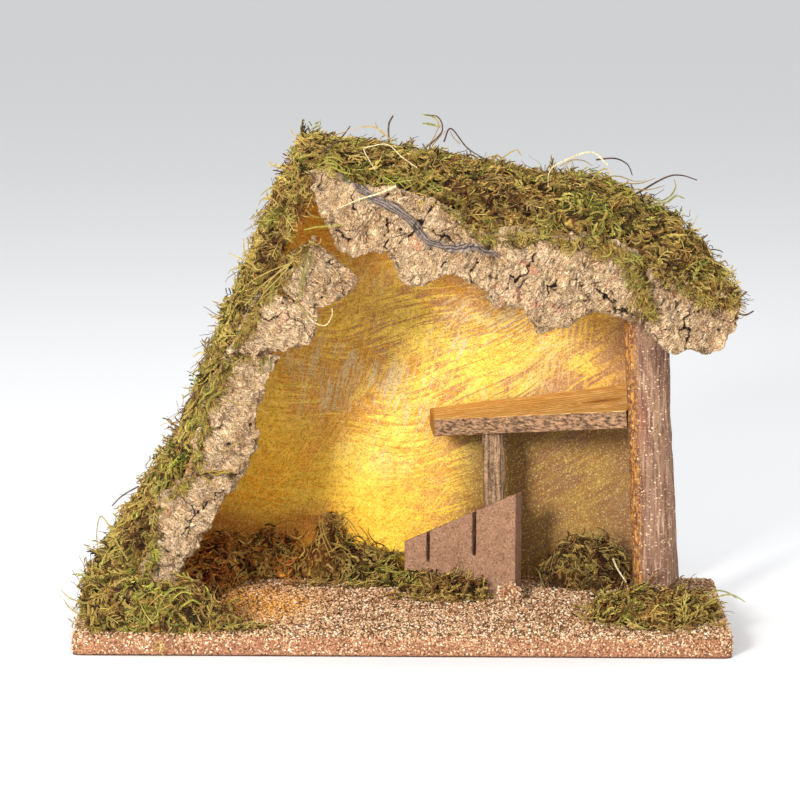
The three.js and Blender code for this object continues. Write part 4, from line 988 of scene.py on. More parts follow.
BARK_FACE = -60  # the bark's front, as a depth
BARK_VEIN = seen([(343, 178), (356, 188), (370, 197), (392, 208), (407, 218), (417, 230), (430, 244),
                  (448, 248), (477, 248), (490, 252), (499, 258)], BARK_FACE)
BARK_CRACKS = [seen(line, BARK_FACE) for line in (
    [(436, 199), (431, 210), (418, 229), (404, 239), (399, 246)],
    [(404, 235), (392, 238), (384, 245), (388, 251)],
    [(335, 232), (342, 236), (349, 246)],
    [(387, 217), (390, 225), (387, 235)],
    [(447, 252), (445, 260), (442, 268)],
    [(436, 231), (445, 240), (456, 246)],
    [(506, 292), (509, 277), (519, 280), (533, 265), (540, 256)],
    [(557, 280), (548, 295)],
    [(478, 262), (470, 275), (474, 287)],
    [(600, 290), (606, 299), (620, 304)],
    [(638, 300), (642, 292), (648, 288)],
    [(360, 184), (352, 200), (356, 208)],
    [(688, 328), (690, 340), (688, 352)],
    [(222, 488), (206, 503), (193, 518), (182, 534)],
    [(180, 498), (190, 505), (192, 516)],
    [(262, 318), (274, 322), (281, 313)],
    [(278, 352), (285, 360), (276, 363)],
)]
VEIN_PLACES = [-34, -20, 10, 45, 52]  # from left to right
VEIN_WIDTHS = [1.5, 3.1, 2.7, 1.7, 0.7]  # half the vein's width there


def fibres(points, away, seed):
    """Waves from -1 to 1 that run along the vein."""
    return np.sin(away * 4.4 + 3 * lumps(points, 6, seed))


def bark_slab(node, slope, seed):
    """A slab of cork bark: rounded knobs with wrinkles, pits and a few deep cracks between them."""
    corners, normals, faces = fine_mesh(node, 0.58)
    local = turned(corners, slope)
    bent = local + 3.2 * shifts(local, 11, seed + 1) + 1.0 * shifts(local, 3.5, seed + 5)
    border, _, block = seams(bent, [20, 15, 14], seed + 10)
    small_border, _, chunk = seams(bent, [7.5, 6.0, 5.5], seed + 20)
    _, middle, kept = seams(local, [11, 9, 11], seed + 40)
    front = smooth_step(0.1, -0.3, normals[:, 1])
    drifted = corners + 1.6 * shifts(corners, 5.5, seed + 90) + 0.7 * shifts(corners, 2.0, seed + 94)
    nearly = corners + 1.0 * shifts(corners, 5.5, seed + 92)
    crack = smooth_step(0.02, 0.0, border) * smooth_step(0.1, 0.5, lumps(local, 15, seed + 30))
    for line in BARK_CRACKS:
        away = np.abs(line_distance(drifted, line))
        crack = np.maximum(crack, smooth_step(0.6, 0.15, away) * front)
    check = smooth_step(0.06, 0.0, small_border) * smooth_step(0.2, 0.55, lumps(local, 8, seed + 31))
    pit = smooth_step(0.11, 0.06, middle) * (kept > 0.4)
    swirl = turned(local + 5.0 * shifts(local, 24, seed + 2), -0.28)
    crease = smooth_step(0.14, 0.0, np.abs(lumps(swirl, [2.2, 6, 9], seed + 50)))
    crease = crease * smooth_step(-0.35, 0.25, lumps(local, 12, seed + 51))
    away = line_distance(nearly, BARK_VEIN)
    half = np.interp(corners[:, 0], VEIN_PLACES, VEIN_WIDTHS)
    vein = smooth_step(1.0, 0.75, np.abs(away) / half) * front * (node == "right_bark")
    height = 1.2 * rough(local, 17, seed + 60) + 0.65 * rough(local, 5.5, seed + 64, 2)
    height += 2.0 * (smooth_step(0.0, 0.5, border) - 0.6)
    height += (block - 0.5) * smooth_step(0.0, 0.12, border)
    height += 0.9 * (smooth_step(0.0, 0.5, small_border) - 0.6)
    height += 0.6 * (chunk - 0.5) * smooth_step(0.0, 0.2, small_border)
    height += 0.3 * lumps(swirl, [1.7, 2.5, 5], seed + 68) + 0.14 * lumps(local, 1.6, seed + 69)
    height -= 0.6 * crease
    height = height * (1 - 0.7 * vein) + vein * (1.1 + 0.25 * fibres(corners, away, seed + 95))
    height -= 1.2 * crack + 0.5 * check + 1.7 * pit
    spread_out = 1.3 * shifts(local, 6, seed + 70) + 0.8 * shifts(local, 2.6, seed + 73)
    rim = smooth_step(0.8, 0.35, np.abs(normals[:, 1]))
    spread_out += 1.1 * rim[:, None] * np.abs(shifts(local, 4.2, seed + 76)) * normals
    corners = corners + normals * height[:, None] + spread_out * (1 - 0.6 * vein[:, None])
    # painted shade in the low ground along the knobs' borders; the hollow value also takes the cracks,
    # checks, pits and creases
    low_ground_shade = smooth_step(0.25, 0.0, border) * 0.2 + smooth_step(0.2, 0.0, small_border) * 0.12
    hollow = 0.9 * crack + 0.4 * check + pit + 0.5 * crease + low_ground_shade
    tone = 0.5 + 0.26 * rough(local, 20, seed + 80) + 0.3 * (chunk - 0.5) + 0.16 * lumps(local, 3, seed + 83)
    striped = 0.5 + 0.5 * fibres(corners, away, seed + 95)
    values = {
        "hollow": np.clip(hollow, 0, 1) * (1 - 0.4 * vein),
        "tone": np.clip(tone * (1 - vein) + striped * vein, 0, 1),
        "vein": vein,
        "across": swirl[:, 0],
        "along": swirl[:, 2],
    }
    make_piece(node + "_cork", [(corners, faces, values)], BARK, [node], smooth=True)

bark_slab("right_bark", RIGHT_SLOPE, 100)
bark_slab("eave_bark", RIGHT_SLOPE, 200)
for seed, place in enumerate(("foot", "middle", "step", "top"), 3):
    bark_slab("left_bark_" + place, LEFT_SLOPE, 100 * seed)


# Posts, loft and fence

def round_post():
    """The branch: bark with ridges and furrows along it."""
    corners, normals, faces = fine_mesh("round_post", 0.75)
    ridges = 1 - np.abs(lumps(corners, [2.8, 2.8, 34], 41))
    height = -0.5 * smooth_step(0.75, 1.0, ridges) + 0.3 * rough(corners, [9, 9, 30], 43)
    height += 0.18 * lumps(corners, [1.5, 1.5, 9], 44)
    make_piece("round_post_bark", [(corners + normals * height[:, None], faces, {})],
               POST_BARK, ["round_post"], smooth=True)


def sawn_piece(node, name, material, step, grain, depth, seed):
    """A sawn piece with a little roughness on its faces and worn edges."""
    corners, normals, faces = fine_mesh(node, step)
    height = depth * rough(corners, grain, seed) + 0.5 * depth * lumps(corners, 1.6, seed + 5)
    hollow = 0.4 * smooth_step(0.35, 0.9, lumps(corners, grain, seed + 9))
    make_piece(name, [(corners + normals * height[:, None], faces, {"hollow": hollow})],
               material, [node], smooth=True)


round_post()
sawn_piece("loft_board", "loft_plank", LOFT, 0.8, [22, 2.4, 1.6], 0.25, 50)
sawn_piece("stall_post", "stall_stick", STICK, 0.7, [2.2, 2.2, 14], 0.3, 60)
sawn_piece("stall_fence", "slit_fence", FENCE, 0.7, [3, 3, 3], 0.16, 70)


# Grit

BASE_TOP = 11.5
BASE_FOOT = 1.7  # no granules below


def upwards(points, normals):
    return (normals[:, 2] > 0.7) * 1.0


def sideways(points, normals):
    return (np.abs(normals[:, 2]) < 0.5) * 1.0


def grit_chips():
    """Granules all over the ground and its rim and, thinner, down the base's edges."""
    rng = random(81)
    beds = [
        ("ground_grit", 29000, (0.72, 1.7), upwards, "ground_chips"),
        ("ground_grit", 3400, (0.7, 1.5), sideways, "rim_chips"),
        ("base_board", 18000, (0.7, 1.6), sideways, "edge_chips"),
    ]
    for i, (node, count, sizes, side, name) in enumerate(beds):
        points, normals, _ = surface_points(node, int(count * SHARE), 80 + 10 * i, side)
        if name == "edge_chips":
            bare = lumps(points, [16, 16, 5], 84) > 0.1
            share = (0.45 + 0.55 * (points[:, 2] / BASE_TOP) ** 2) * (1 - 0.5 * bare)
            kept = (rng.random(len(points)) < share) & (points[:, 2] > BASE_FOOT)
            points, normals = points[kept], normals[kept]
        forward = lying(normals, rng, np.zeros(3), 0.25)
        points = points + normals * rng.uniform(-0.15, 0.35, (len(points), 1))
        tones = np.clip(rng.beta(1.4, 1.3, len(points)) + 0.12 * lumps(points, 14, 82), 0, 1)
        size = rng.uniform(*sizes, len(points))
        chips = spread(CHIPS, points, forward, normals, size, {"tone": tones}, 83 + i)
        make_piece(name, [chips], GRIT)


def grit_heap():
    """A loose low heap of granules, uneven and lower than the room it may take."""
    corners, normals, faces = fine_mesh("fence_grit_heap", 0.8)
    foot = corners[:, 2].min()
    corners = corners + normals * (-1.2 + 1.6 * rough(corners, 5, 87))[:, None]
    corners[:, 2] = foot + (corners[:, 2] - foot) * 0.75
    values = {"tone": 0.2 + 0.1 * lumps(corners, 2, 88), "tip": np.zeros(len(corners))}
    rng = random(90)
    pick = rng.choice(len(corners), int(700 * SHARE))
    points = corners[pick] + rng.normal(0, 0.4, (len(pick), 3))
    chips = spread(CHIPS, points, lying(normals[pick], rng, np.zeros(3), 0.6), normals[pick],
                   rng.uniform(0.7, 1.7, len(pick)), {"tone": rng.beta(1.5, 1.3, len(pick))}, 91)
    make_piece("grit_heap_chips", [(corners, faces, values), chips], GRIT, ["fence_grit_heap"])


grit_chips()
grit_heap()


# Moss

LEGROOM = ((-np.inf, -np.inf, 0.4), (np.inf, 88.4, np.inf))  # over the floor and before the back panel
DENSITY = 0.1  # shoots on each square millimetre
INTO_BOARD = 1.5  # how far moss reaches into the board that it lies on
BOARD_EDGE = -44  # the boards' front edge, and how far to one side of the middle they begin
GROUND = (173, 84)  # how far from its middle the ground carries loose shoots
GROUND_TOP = 13.8
ROOF_DEPTHS = (-64, 80)

LEFT_OUT = (-math.sin(LEFT_SLOPE), 0, math.cos(LEFT_SLOPE))
LEFT_END = (math.cos(LEFT_SLOPE), 0, math.sin(LEFT_SLOPE))
LEFT_COMB = (-0.35, -0.2, -0.7)
RIGHT_OUT = (math.sin(-RIGHT_SLOPE), 0, math.cos(RIGHT_SLOPE))
ROOF_COMB = (0.7, -0.25, -0.25)
RIGHT_REACHES = [(0, 1.5), (18, 0), (62, 0), (82, 4), (103, 5), (113, 9), (132, 2), (157, 9), (174, 9),
                 (190, 14)]
STRAGGLERS = {"lift": 0.6, "sizes": (0.5, 0.9), "kinds": STRAGGLY}


def facing(way, least):
    """Which surfaces of a piece face a way by more than the least share."""
    return lambda points, normals: (normals @ np.array(way, float) > least) * 1.0


def moss_clump(node, away, comb, seed, green=0.0, lift=0.2, density=1.0, material=MOSS, kinds=LEAFY,
               ragged=1.5, board=None, extra=()):
    """One clump: its matted core and the shoots that grow from every side but the glued one."""
    away = unit(away)

    def wanted(points, normals):
        free = smooth_step(-0.35, 0.1, normals @ away)
        return free * (1 + 1.2 * np.clip(-normals[:, 1], 0, 1))

    _, _, area = surface_points(node, 1, seed, wanted)
    count = int(area * DENSITY * density * SHARE)
    points, normals, _ = surface_points(node, count, seed + 1, wanted)
    parts = [moss_core(node, seed + 2, ragged)]
    parts += planted(points, normals, seed + 3, comb, lift, green, kinds=kinds)
    for spot in extra:
        parts += spot
    if board:
        parts = [short_of(part, board, away) for part in parts]
    else:
        parts = [(np.clip(part[0], *LEGROOM), *part[1:]) for part in parts]
    make_piece(node + "_shoots", parts, material, [node])


def short_of(part, board, away):
    """A part whose corners end inside the board that it lies on, and don't come out below."""
    low = (cad_mesh(board)[0] @ away).min() + INTO_BOARD
    outward = part[0][:, 0] * (1 if away[0] > 0 else -1)
    over = (part[0][:, 1] > BOARD_EDGE) & (outward > BOARD_EDGE)
    lacking = np.maximum(low - part[0] @ away, 0) * over
    return part[0] + lacking[:, None] * away, *part[1:]


def end_shoots(node, side, count, seed, lift=0.25):
    """Shoots over one side of a piece, where it would show between two clumps."""
    points, normals, _ = surface_points(node, int(count * SHARE), seed, facing(side, 0.5))
    return planted(points + 0.8 * normals, normals, seed + 1, (0, -0.2, 0), lift, 0.0)


def strays(node, angles, count, seed, green=0.0, reach=(0.8, 1.35)):
    """Shoots that lie loose on the grit round one side of a clump."""
    corners = cad_mesh(node)[0]
    low, high = corners.min(axis=0), corners.max(axis=0)
    rng = random(seed)
    count = int(count * SHARE)
    angle = np.radians(rng.uniform(*angles, count))
    far = rng.uniform(*reach, count)
    round_it = np.stack([far * np.cos(angle), far * np.sin(angle)], axis=1)
    flat = (low[:2] + high[:2]) / 2 + round_it * (high[:2] - low[:2]) / 2
    flat = flat[np.all(np.abs(flat) < GROUND, axis=1)]
    points = np.column_stack([flat, np.full(len(flat), GROUND_TOP)])
    return planted(points, np.tile(UP, (len(points), 1)), seed + 1, (0, 0, 0), 0.1, green, (0.45, 0.85))


def along_line(places, depth, away, comb, count, seed, green, loose, lift, sizes, kinds=LEAFY):
    """Shoots planted along a line of the view from the front, loosely spread round it."""
    line = even_path(smooth_path(seen(places, depth)), 0.5)
    rng = random(seed)
    count = int(count * SHARE)
    points = line[rng.integers(0, len(line), count)] + rng.normal(size=(count, 3)) * loose
    points[:, 1] = np.clip(points[:, 1], *ROOF_DEPTHS)
    normals = np.tile(unit(away), (count, 1))
    return planted(points, normals, seed + 1, comb, lift, green, sizes, kinds)


def bark_fringe(node, slope, reaches, count, seed, comb=(0.2, -0.2, -0.8), green=0.0):
    """Shoots that hang over a bark slab's outer edge, by the reach given at places along it."""
    points, normals, _ = surface_points(node, 6 * count, seed, facing(FRONT, 0.35))
    local = turned(points, slope)
    bins = np.round(local[:, 0] / 4).astype(int)
    edge = {b: local[bins == b, 2].max() for b in np.unique(bins)}
    below = np.array([edge[b] for b in bins]) - local[:, 2]
    along = local[:, 0] - local[:, 0].min()
    level = local * [1, 0, 0]
    reach = np.interp(along, *zip(*reaches))
    reach = reach * (0.9 + 0.5 * lumps(level, 17, seed + 1) + 0.4 * lumps(level, 7, seed + 2))
    cover = random(seed + 3).uniform(0.3, 1.0, len(points))
    keep = np.flatnonzero(below < reach * cover)[:int(count * SHARE)]
    points, normals = points[keep], normals[keep]
    return planted(points + 1.2 * normals, normals, seed + 4, comb, 0.2, green, (0.4, 0.75))


def between(node, side, least, low, high, count, seed):
    """Points and normals on one side of a piece, between two heights."""
    points, normals, _ = surface_points(node, count, seed, facing(side, least))
    keep = np.flatnonzero((points[:, 2] > low) & (points[:, 2] < high))[:int(count * SHARE)]
    return points[keep], normals[keep]


def board_cover(low, high, count, seed):
    """Shoots on the left roof board's outer face between two heights, over a seam between two clumps."""
    points, normals = between("left_roof_board", unit(LEFT_OUT), 0.9, low, high, count, seed)
    return planted(points + 3.0 * normals, normals, seed + 1, LEFT_COMB, 0.2, 0.0)


def board_fringe(node, low, high, count, seed, comb):
    """Shoots that hang over a roof board's front edge, between two heights."""
    points, normals = between(node, FRONT, 0.7, low, high, count, seed)
    forward_by = random(seed + 1).uniform(0.5, 6.0, (len(points), 1))
    return planted(points + normals * forward_by, normals, seed + 2, comb, 0.25, 0.0, (0.7, 1.1))


moss_clump("side_moss_lower", LEFT_OUT, LEFT_COMB, 1000, 0.02, board="left_roof_board", extra=[
    bark_fringe("left_bark_foot", LEFT_SLOPE, [(0, 26), (9, 14), (20, 4), (90, 4)], 520, 1050),
    board_cover(14, 46, 6400, 1070),
])
moss_clump("side_moss_middle", LEFT_OUT, LEFT_COMB, 1100, 0.03, board="left_roof_board", extra=[
    bark_fringe("left_bark_middle", LEFT_SLOPE, [(0, 13), (16, 5), (60, 6), (80, 5)], 480, 1150),
])
moss_clump("side_moss_upper", LEFT_OUT, LEFT_COMB, 1200, 0.05, board="left_roof_board", extra=[
    bark_fringe("left_bark_step", LEFT_SLOPE, [(0, 4), (40, 8)], 300, 1250),
    bark_fringe("left_bark_top", LEFT_SLOPE, [(0, 15), (30, 9)], 460, 1260, (0.2, -0.2, -0.9)),
    board_fringe("left_roof_board", 150, 252, 1700, 1270, (-0.1, -0.2, -0.8)),
    end_shoots("left_roof_board", LEFT_END, 320, 1290),
    along_line([(292, 160), (262, 225), (235, 290), (208, 352), (172, 440), (140, 500)], 0, (-0.9, 0, 0.3),
               (-0.3, 0, 0.2), 100, 1295, 0.05, (1, 22, 2), **STRAGGLERS),
])
moss_clump("roof_moss_ridge", (0, 0, 1), ROOF_COMB, 1300, -0.02, board="right_roof_board", extra=[
    end_shoots("right_roof_board", (-1, 0, 0), 200, 1390),
    along_line([(330, 142), (400, 150), (470, 161), (530, 172), (590, 184)], 0, (0.1, 0, 1),
               (0.9, 0, 0.1), 80, 1395, 0.0, (2, 22, 1), **STRAGGLERS),
])
moss_clump("roof_moss_middle", RIGHT_OUT, ROOF_COMB, 1400, -0.06, board="right_roof_board")
moss_clump("roof_moss_right", RIGHT_OUT, ROOF_COMB, 1500, 0.12, board="right_roof_board", extra=[
    bark_fringe("right_bark", RIGHT_SLOPE, RIGHT_REACHES, 1500, 1550, (0.3, -0.2, -0.8), 0.06),
    board_fringe("right_roof_board", 190, 262, 700, 1560, (0.4, -0.2, -0.5)),
])
moss_clump("eave_moss", (0.5, 0, 0.25), (0.5, -0.3, -0.5), 1600, 0.1, extra=[
    bark_fringe("eave_bark", RIGHT_SLOPE, [(0, 9), (60, 5)], 280, 1650, (0.3, -0.2, -0.6)),
    end_shoots("eave_bark", UP, 330, 1670, 1.0),
    end_shoots("right_roof_board", (0.98, 0, -0.2), 300, 1680, 0.5),
    end_shoots("eave_moss", (-0.3, 0, -0.9), 330, 1690, 0.9),
    along_line([(630, 268), (638, 284), (644, 300), (651, 316)], -63, FRONT, (0.1, -0.3, -1.3),
               260, 1695, 0.08, (2.4, 0.6, 1.5), 0.15, (0.45, 0.8)),
    along_line([(590, 186), (640, 205), (680, 226), (712, 252), (730, 276)], -10, (0.5, 0, 1),
               (0.9, 0, 0.1), 90, 1697, 0.1, (2, 22, 1), 0.7, (0.5, 0.9), STRAGGLY),
])
moss_clump("side_moss_foot", (-0.3, 0, 1), (-0.4, 0, 0), 1700)
moss_clump("corner_moss", (0, -0.2, 1), (-0.2, -0.4, -0.2), 1800,
           extra=[strays("corner_moss", (-60, 50), 190, 1850)])
moss_clump("wall_moss_left", (0, -0.3, 1), (0.5, -0.3, 0), 1900, 0.02, 0.35, 1.2, PAINTED_MOSS, WIRY, 6.0)
moss_clump("wall_moss_middle", (0, -0.2, 1), (0.3, -0.2, 0), 2000, -0.06, 0.3, kinds=WIRY, ragged=3.0,
           extra=[strays("wall_moss_middle", (200, 340), 130, 2050, -0.1)])
moss_clump("fence_moss", (0, -0.2, 1), (0.3, -0.2, 0), 2100, -0.04, 0.3,
           extra=[strays("fence_moss", (190, 350), 130, 2150)])
moss_clump("stall_moss", (0, -0.2, 1), (0.5, -0.2, -0.4), 2200, -0.42, 0.15, 1.2, kinds=WIRY)
moss_clump("post_moss", (0, -0.2, 1), (0.5, -0.3, 0), 2300, 0.0, 0.4, 1.2,
           extra=[strays("post_moss", (0, 360), 330, 2350, -0.05, (0.7, 1.25))])


# Straws, stems and twigs caught in the moss

def stalks(name, material, lines):
    """Thin stalks, each given by its start and end radius and the points that it passes."""
    parts = []
    for start, end, points in lines:
        line = smooth_path(points)
        corners, faces, along = tube(line, np.linspace(start, end, len(line)), 5)
        parts.append((corners, faces, {"tip": along}))
    make_piece(name, parts, material)


stalks("pale_straws", STRAW, [
    (0.24, 0.24, [(-16.1, -57, 260.6), (-22.1, -60, 271.3), (-20.3, -60, 273.0)]),
    (0.24, 0.2, [(-20.3, -60, 273.0), (-9.7, -60, 274.6), (-1.6, -59, 267.7), (6.5, -57, 261.8)]),
    (0.2, 0.8, [(-36.4, -60, 239.6), (-24.1, -61, 245.1), (-15.0, -61, 247.8), (-6.9, -60, 251.1),
                (-4.7, -60, 252.1)]),
    (0.3, 0.3, [(-56.3, -59, 187.2), (-49.8, -60, 179.0), (-42.7, -60, 176.3), (-39, -60, 181.8),
                (-39, -59, 185.6)]),
    (0.55, 0.4, [(116, -20, 42.3), (118.4, -20, 36.7), (123.5, -21, 29.1)]),
    (0.3, 0.5, [(78.2, -20, 248.0), (78.9, -22, 256.5), (84.6, -25, 261.9), (100.9, -28, 268.0),
                (110.3, -27, 261.0)]),
])
stalks("dark_twigs", TWIG, [
    (0.55, 0.5, [(-8.7, -40, 273.8), (-8.9, -37, 282.9), (-6.6, -31, 287.4)]),
    (0.5, 0.3, [(13, -40, 272), (20, -44, 280.5), (17.8, -48, 288.3), (10.4, -47, 289.4)]),
    (0.5, 0.3, [(21.1, -40, 274.4), (24.8, -34, 281.0), (33.5, -32, 270.6), (42, -35, 265.3)]),
    (0.5, 0.3, [(104.4, -20, 263.1), (114.6, -16, 263.5), (121.7, -13, 259.9), (124.5, -14, 254.0)]),
    (0.6, 0.3, [(126.5, -20, 244.6), (142.0, -24, 253.9), (150.2, -29, 255.7), (159.0, -31, 253.3)]),
    (0.5, 0.35, [(-144.4, -45, 85.4), (-153.5, -45, 79.9), (-159.0, -45, 74.4)]),
    (0.45, 0.3, [(-113.1, -45, 137.9), (-118.5, -45, 130.3), (-121.2, -45, 122.1)]),
    (0.5, 0.3, [(-45.6, -40, 268), (-34.5, -36, 276.1), (-29.8, -31, 281.8)]),
    (0.7, 0.4, [(178.9, -50, 183.6), (184.7, -50, 182.0), (189.4, -50, 184.2)]),
])


FREE_DEPTHS = (-58, 0)  # between these a sprig stands in the air and may lean


def sprigs(name, seed, rows):
    """Leafy sprigs laid one by one: leaf length, tone, depth, and the points passed in the view."""
    rng = random(seed)
    parts = []
    for leaf, tone, depth, points in rows:
        line = even_path(seen(points, depth), 0.6)
        free = FREE_DEPTHS[0] < depth < FREE_DEPTHS[1]
        lean = rng.uniform(-9, 9) * free
        line[:, 1] += (1.0 + free) * lumps(line, 9, seed) + lean * np.linspace(0, 1, len(line)) ** 2
        corners, faces, tips = leafy(line, rng, leaf, 0.55, 0.34, FRONT)
        tones = np.full(len(corners), tone) + rng.normal(0, 0.04)
        # sprigs get a high light value, so they are painted as lit
        parts.append((corners, faces, {"tone": tones, "light": np.full(len(corners), 0.9), "tip": tips}))
    make_piece(name, parts, MOSS)


sprigs("ridge_sprigs", 3000, [
    (1.0, 0.3, -40, [(306, 146), (300, 139), (293, 134), (291, 129)]),
    (0.8, 0.3, -40, [(294, 172), (290, 168), (284, 164)]),
    (0.8, 0.25, -40, [(330, 137), (338, 134), (346, 131), (350, 127)]),
    (1.1, 0.45, -40, [(392, 142), (384, 133), (375, 127), (362, 126), (355, 129)]),
    (0.9, 0.35, -40, [(384, 134), (378, 129), (375, 123)]),
    (1.7, 0.95, -40, [(439, 127), (437, 120), (430, 115), (421, 114)]),
    (1.8, 0.9, -40, [(439, 127), (431, 124), (423, 122)]),
    (0.9, 0.25, -40, [(428, 146), (434, 138), (439, 127), (443, 126)]),
    (0.7, 0.2, -40, [(432, 146), (440, 136), (446, 130)]),
    (0.7, 0.2, -40, [(460, 144), (453, 137), (450, 131)]),
    (1.2, 0.4, -40, [(500, 160), (510, 153), (517, 150), (521, 155)]),
    (1.1, 0.35, -40, [(486, 158), (496, 156), (506, 160)]),
    (1.0, 0.3, -30, [(560, 166), (572, 160), (584, 161), (592, 166)]),
    (1.2, 0.55, -30, [(590, 182), (598, 172), (606, 168), (612, 174)]),
    (1.1, 0.2, -30, [(608, 190), (622, 184), (640, 184), (655, 179)]),
    (1.1, 0.25, -30, [(614, 196), (632, 190), (650, 190), (664, 186)]),
    (0.9, 0.2, -30, [(600, 178), (618, 176), (634, 181), (646, 180)]),
    (1.7, 0.9, -40, [(648, 208), (658, 204), (668, 202), (676, 196), (684, 198)]),
    (1.5, 0.85, -40, [(652, 200), (662, 201), (671, 196), (676, 188), (675, 181)]),
    (1.3, 0.7, -40, [(655, 214), (664, 212), (672, 213)]),
    (1.2, 0.5, -40, [(668, 222), (676, 220), (682, 224)]),
    (0.9, 0.3, -50, [(700, 284), (714, 282), (725, 287), (739, 288), (741, 296)]),
    (0.8, 0.3, -50, [(712, 288), (722, 292), (732, 290)]),
    (1.3, 0.95, -61, [(318, 166), (328, 160), (336, 163), (344, 170)]),
    (1.3, 0.98, -61, [(322, 172), (332, 167), (342, 172), (352, 174)]),
    (1.1, 0.96, -61, [(326, 158), (334, 157), (342, 162)]),
])
sprigs("left_sprigs", 3100, [
    (1.2, 0.6, -45, [(284, 200), (276, 190), (268, 190), (260, 197)]),
    (1.1, 0.5, -45, [(280, 206), (270, 198), (262, 200), (258, 206)]),
    (0.9, 0.55, -45, [(276, 214), (266, 211), (258, 213)]),
    (1.3, 0.42, -45, [(258, 268), (250, 262), (245, 252), (244, 238)]),
    (1.3, 0.4, -45, [(258, 270), (250, 263), (240, 258), (230, 253)]),
    (1.1, 0.45, -45, [(256, 272), (246, 265), (238, 266), (230, 270)]),
    (0.7, 0.42, -61, [(292, 263), (275, 269), (258, 277), (246, 285)]),
    (0.7, 0.38, -61, [(290, 265), (274, 276), (260, 287), (250, 297)]),
    (0.7, 0.45, -61, [(288, 268), (277, 280), (265, 292), (257, 304)]),
    (0.7, 0.35, -61, [(292, 262), (278, 272), (268, 284), (262, 296)]),
    (0.7, 0.4, -61, [(283, 268), (280, 280), (286, 290), (294, 297)]),
    (1.0, 0.8, -61, [(275, 282), (272, 292), (270, 302), (269, 310)]),
    (1.3, 0.82, -61, [(309, 250), (306, 262), (302, 276), (300, 290), (297, 303)]),
    (1.2, 0.78, -61, [(300, 256), (300, 268), (304, 280), (302, 294), (296, 300)]),
    (1.1, 0.85, -61, [(314, 250), (312, 264), (305, 276), (303, 288)]),
    (0.9, 0.55, -61, [(296, 300), (303, 311), (312, 317), (322, 320)]),
    (1.4, 0.9, -61, [(304, 230), (316, 227), (330, 226), (344, 224)]),
    (1.0, 0.7, -61, [(306, 210), (312, 216), (322, 218)]),
    (1.1, 0.5, -50, [(206, 352), (200, 352), (194, 356)]),
    (1.6, 0.92, -61, [(198, 404), (204, 396), (212, 390), (214, 382)]),
    (1.4, 0.88, -61, [(206, 408), (211, 398), (220, 392), (232, 387)]),
    (0.8, 0.42, -61, [(226, 400), (238, 404), (252, 405), (268, 414)]),
    (0.8, 0.5, -61, [(220, 452), (232, 446), (243, 440)]),
    (0.9, 0.4, -59, [(200, 474), (212, 471), (224, 473), (238, 468)]),
    (1.0, 0.55, -59, [(204, 470), (216, 475), (228, 470), (234, 473)]),
    (1.1, 0.6, -55, [(128, 560), (116, 540), (110, 527), (101, 516), (97, 530), (98, 548), (104, 560)]),
    (1.0, 0.5, -55, [(122, 548), (112, 552), (106, 562)]),
    (1.2, 0.62, -60, [(92, 604), (82, 602), (70, 598), (61, 590)]),
    (1.2, 0.58, -60, [(92, 612), (80, 614), (70, 608), (64, 600)]),
    (1.0, 0.5, -60, [(100, 590), (92, 584), (84, 588)]),
])
sprigs("ground_sprigs", 3200, [
    (2.4, 0.72, -78, [(196, 622), (210, 618), (226, 613), (240, 619)]),
    (1.6, 0.68, -76, [(190, 616), (206, 609), (222, 609), (232, 612)]),
    (1.8, 0.98, -84, [(168, 612), (172, 600), (182, 592), (192, 594)]),
    (1.8, 0.95, -84, [(174, 616), (182, 606), (192, 600), (200, 604)]),
    (1.6, 0.9, -86, [(160, 604), (166, 594), (176, 588), (186, 588)]),
    (1.0, 0.42, -86, [(138, 600), (150, 592), (160, 598), (168, 612)]),
    (1.2, 0.08, 62, [(330, 556), (322, 536), (319, 518), (322, 510), (327, 500)]),
    (1.0, 0.02, 64, [(333, 552), (325, 536), (322, 520), (327, 512), (332, 518)]),
    (0.9, 0.5, 66, [(334, 520), (345, 522), (354, 532), (360, 546), (372, 556)]),
    (0.8, 0.62, 67, [(330, 514), (342, 516), (352, 524), (360, 536), (376, 552)]),
    (1.5, 0.5, 60, [(330, 552), (340, 546), (350, 552)]),
    (1.4, 0.92, -70, [(706, 604), (718, 597), (732, 595), (745, 602)]),
    (1.4, 0.85, -68, [(700, 598), (714, 591), (726, 592), (736, 598)]),
    (1.2, 0.8, -78, [(548, 628), (552, 634), (556, 640)]),
])


# Floor, light and camera

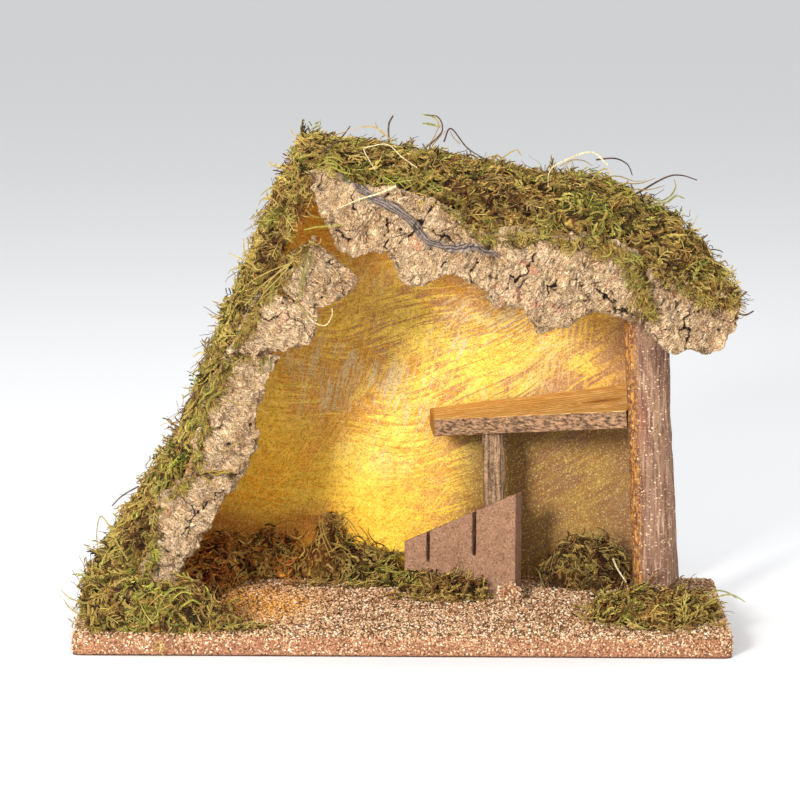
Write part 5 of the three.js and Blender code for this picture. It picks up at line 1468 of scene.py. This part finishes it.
def floor():
    """A pale sweep of paper under and far behind the stable."""
    mesh = bpy.data.meshes.new("floor")
    mesh.from_pydata([(-9, -6, 0), (9, -6, 0), (9, 14, 0), (-9, 14, 0)], [], [(0, 1, 2, 3)])
    tree, place = new_material("paper sweep", 0.9, 0.1)
    grade = tree.span(tree.axes(place)["Y"], 0.6, 5.5)
    paper = tree.mix(grade, (0.87, 0.87, 0.87, 1), (0.94, 0.93, 0.91, 1))
    tree.feed(tree.shader["Base Color"], paper)
    mesh.materials.append(tree.material)
    piece = bpy.data.objects.new("floor", mesh)
    bpy.context.scene.collection.objects.link(piece)


def soft_light(name, place, aim, size, power, tint=(1.0, 1.0, 1.0)):
    lamp = bpy.data.lights.new(name, "AREA")
    lamp.shape = "RECTANGLE"
    lamp.size, lamp.size_y = size
    lamp.energy = power
    lamp.color = tint
    holder = bpy.data.objects.new(name, lamp)
    holder.location = place
    holder.rotation_euler = (Vector(aim) - Vector(place)).to_track_quat("-Z", "Y").to_euler()
    bpy.context.scene.collection.objects.link(holder)


floor()
soft_light("key light", (-0.85, -2.35, 0.8), (0, 0, 0.12), (0.38, 0.38), 80, (1.0, 0.985, 0.96))
soft_light("front fill", (0.5, -2.6, 0.8), (0, 0, 0.12), (1.6, 1.2), 21)
soft_light("top light", (0.1, 0.4, 1.9), (0, 0, 0.1), (1.2, 1.2), 15)
world = bpy.data.worlds.new("studio")
world.use_nodes = True
world.node_tree.nodes["Background"].inputs["Color"].default_value = (0.95, 0.97, 1.0, 1.0)
world.node_tree.nodes["Background"].inputs["Strength"].default_value = 0.685
bpy.context.scene.world = world
bpy.context.scene.view_settings.view_transform = "Standard"

camera = bpy.data.objects.new("camera", bpy.data.cameras.new("camera"))
camera.data.lens = VIEW_LENS
camera.data.sensor_width = FILM
turn = Matrix.Rotation(math.pi / 2 - VIEW_PITCH, 4, "X") @ Matrix.Rotation(VIEW_ROLL, 4, "Z")
camera.matrix_world = Matrix.Translation(VIEW_FROM * MM) @ turn
bpy.context.scene.collection.objects.link(camera)
bpy.context.scene.camera = camera

bpy.context.view_layer.update()
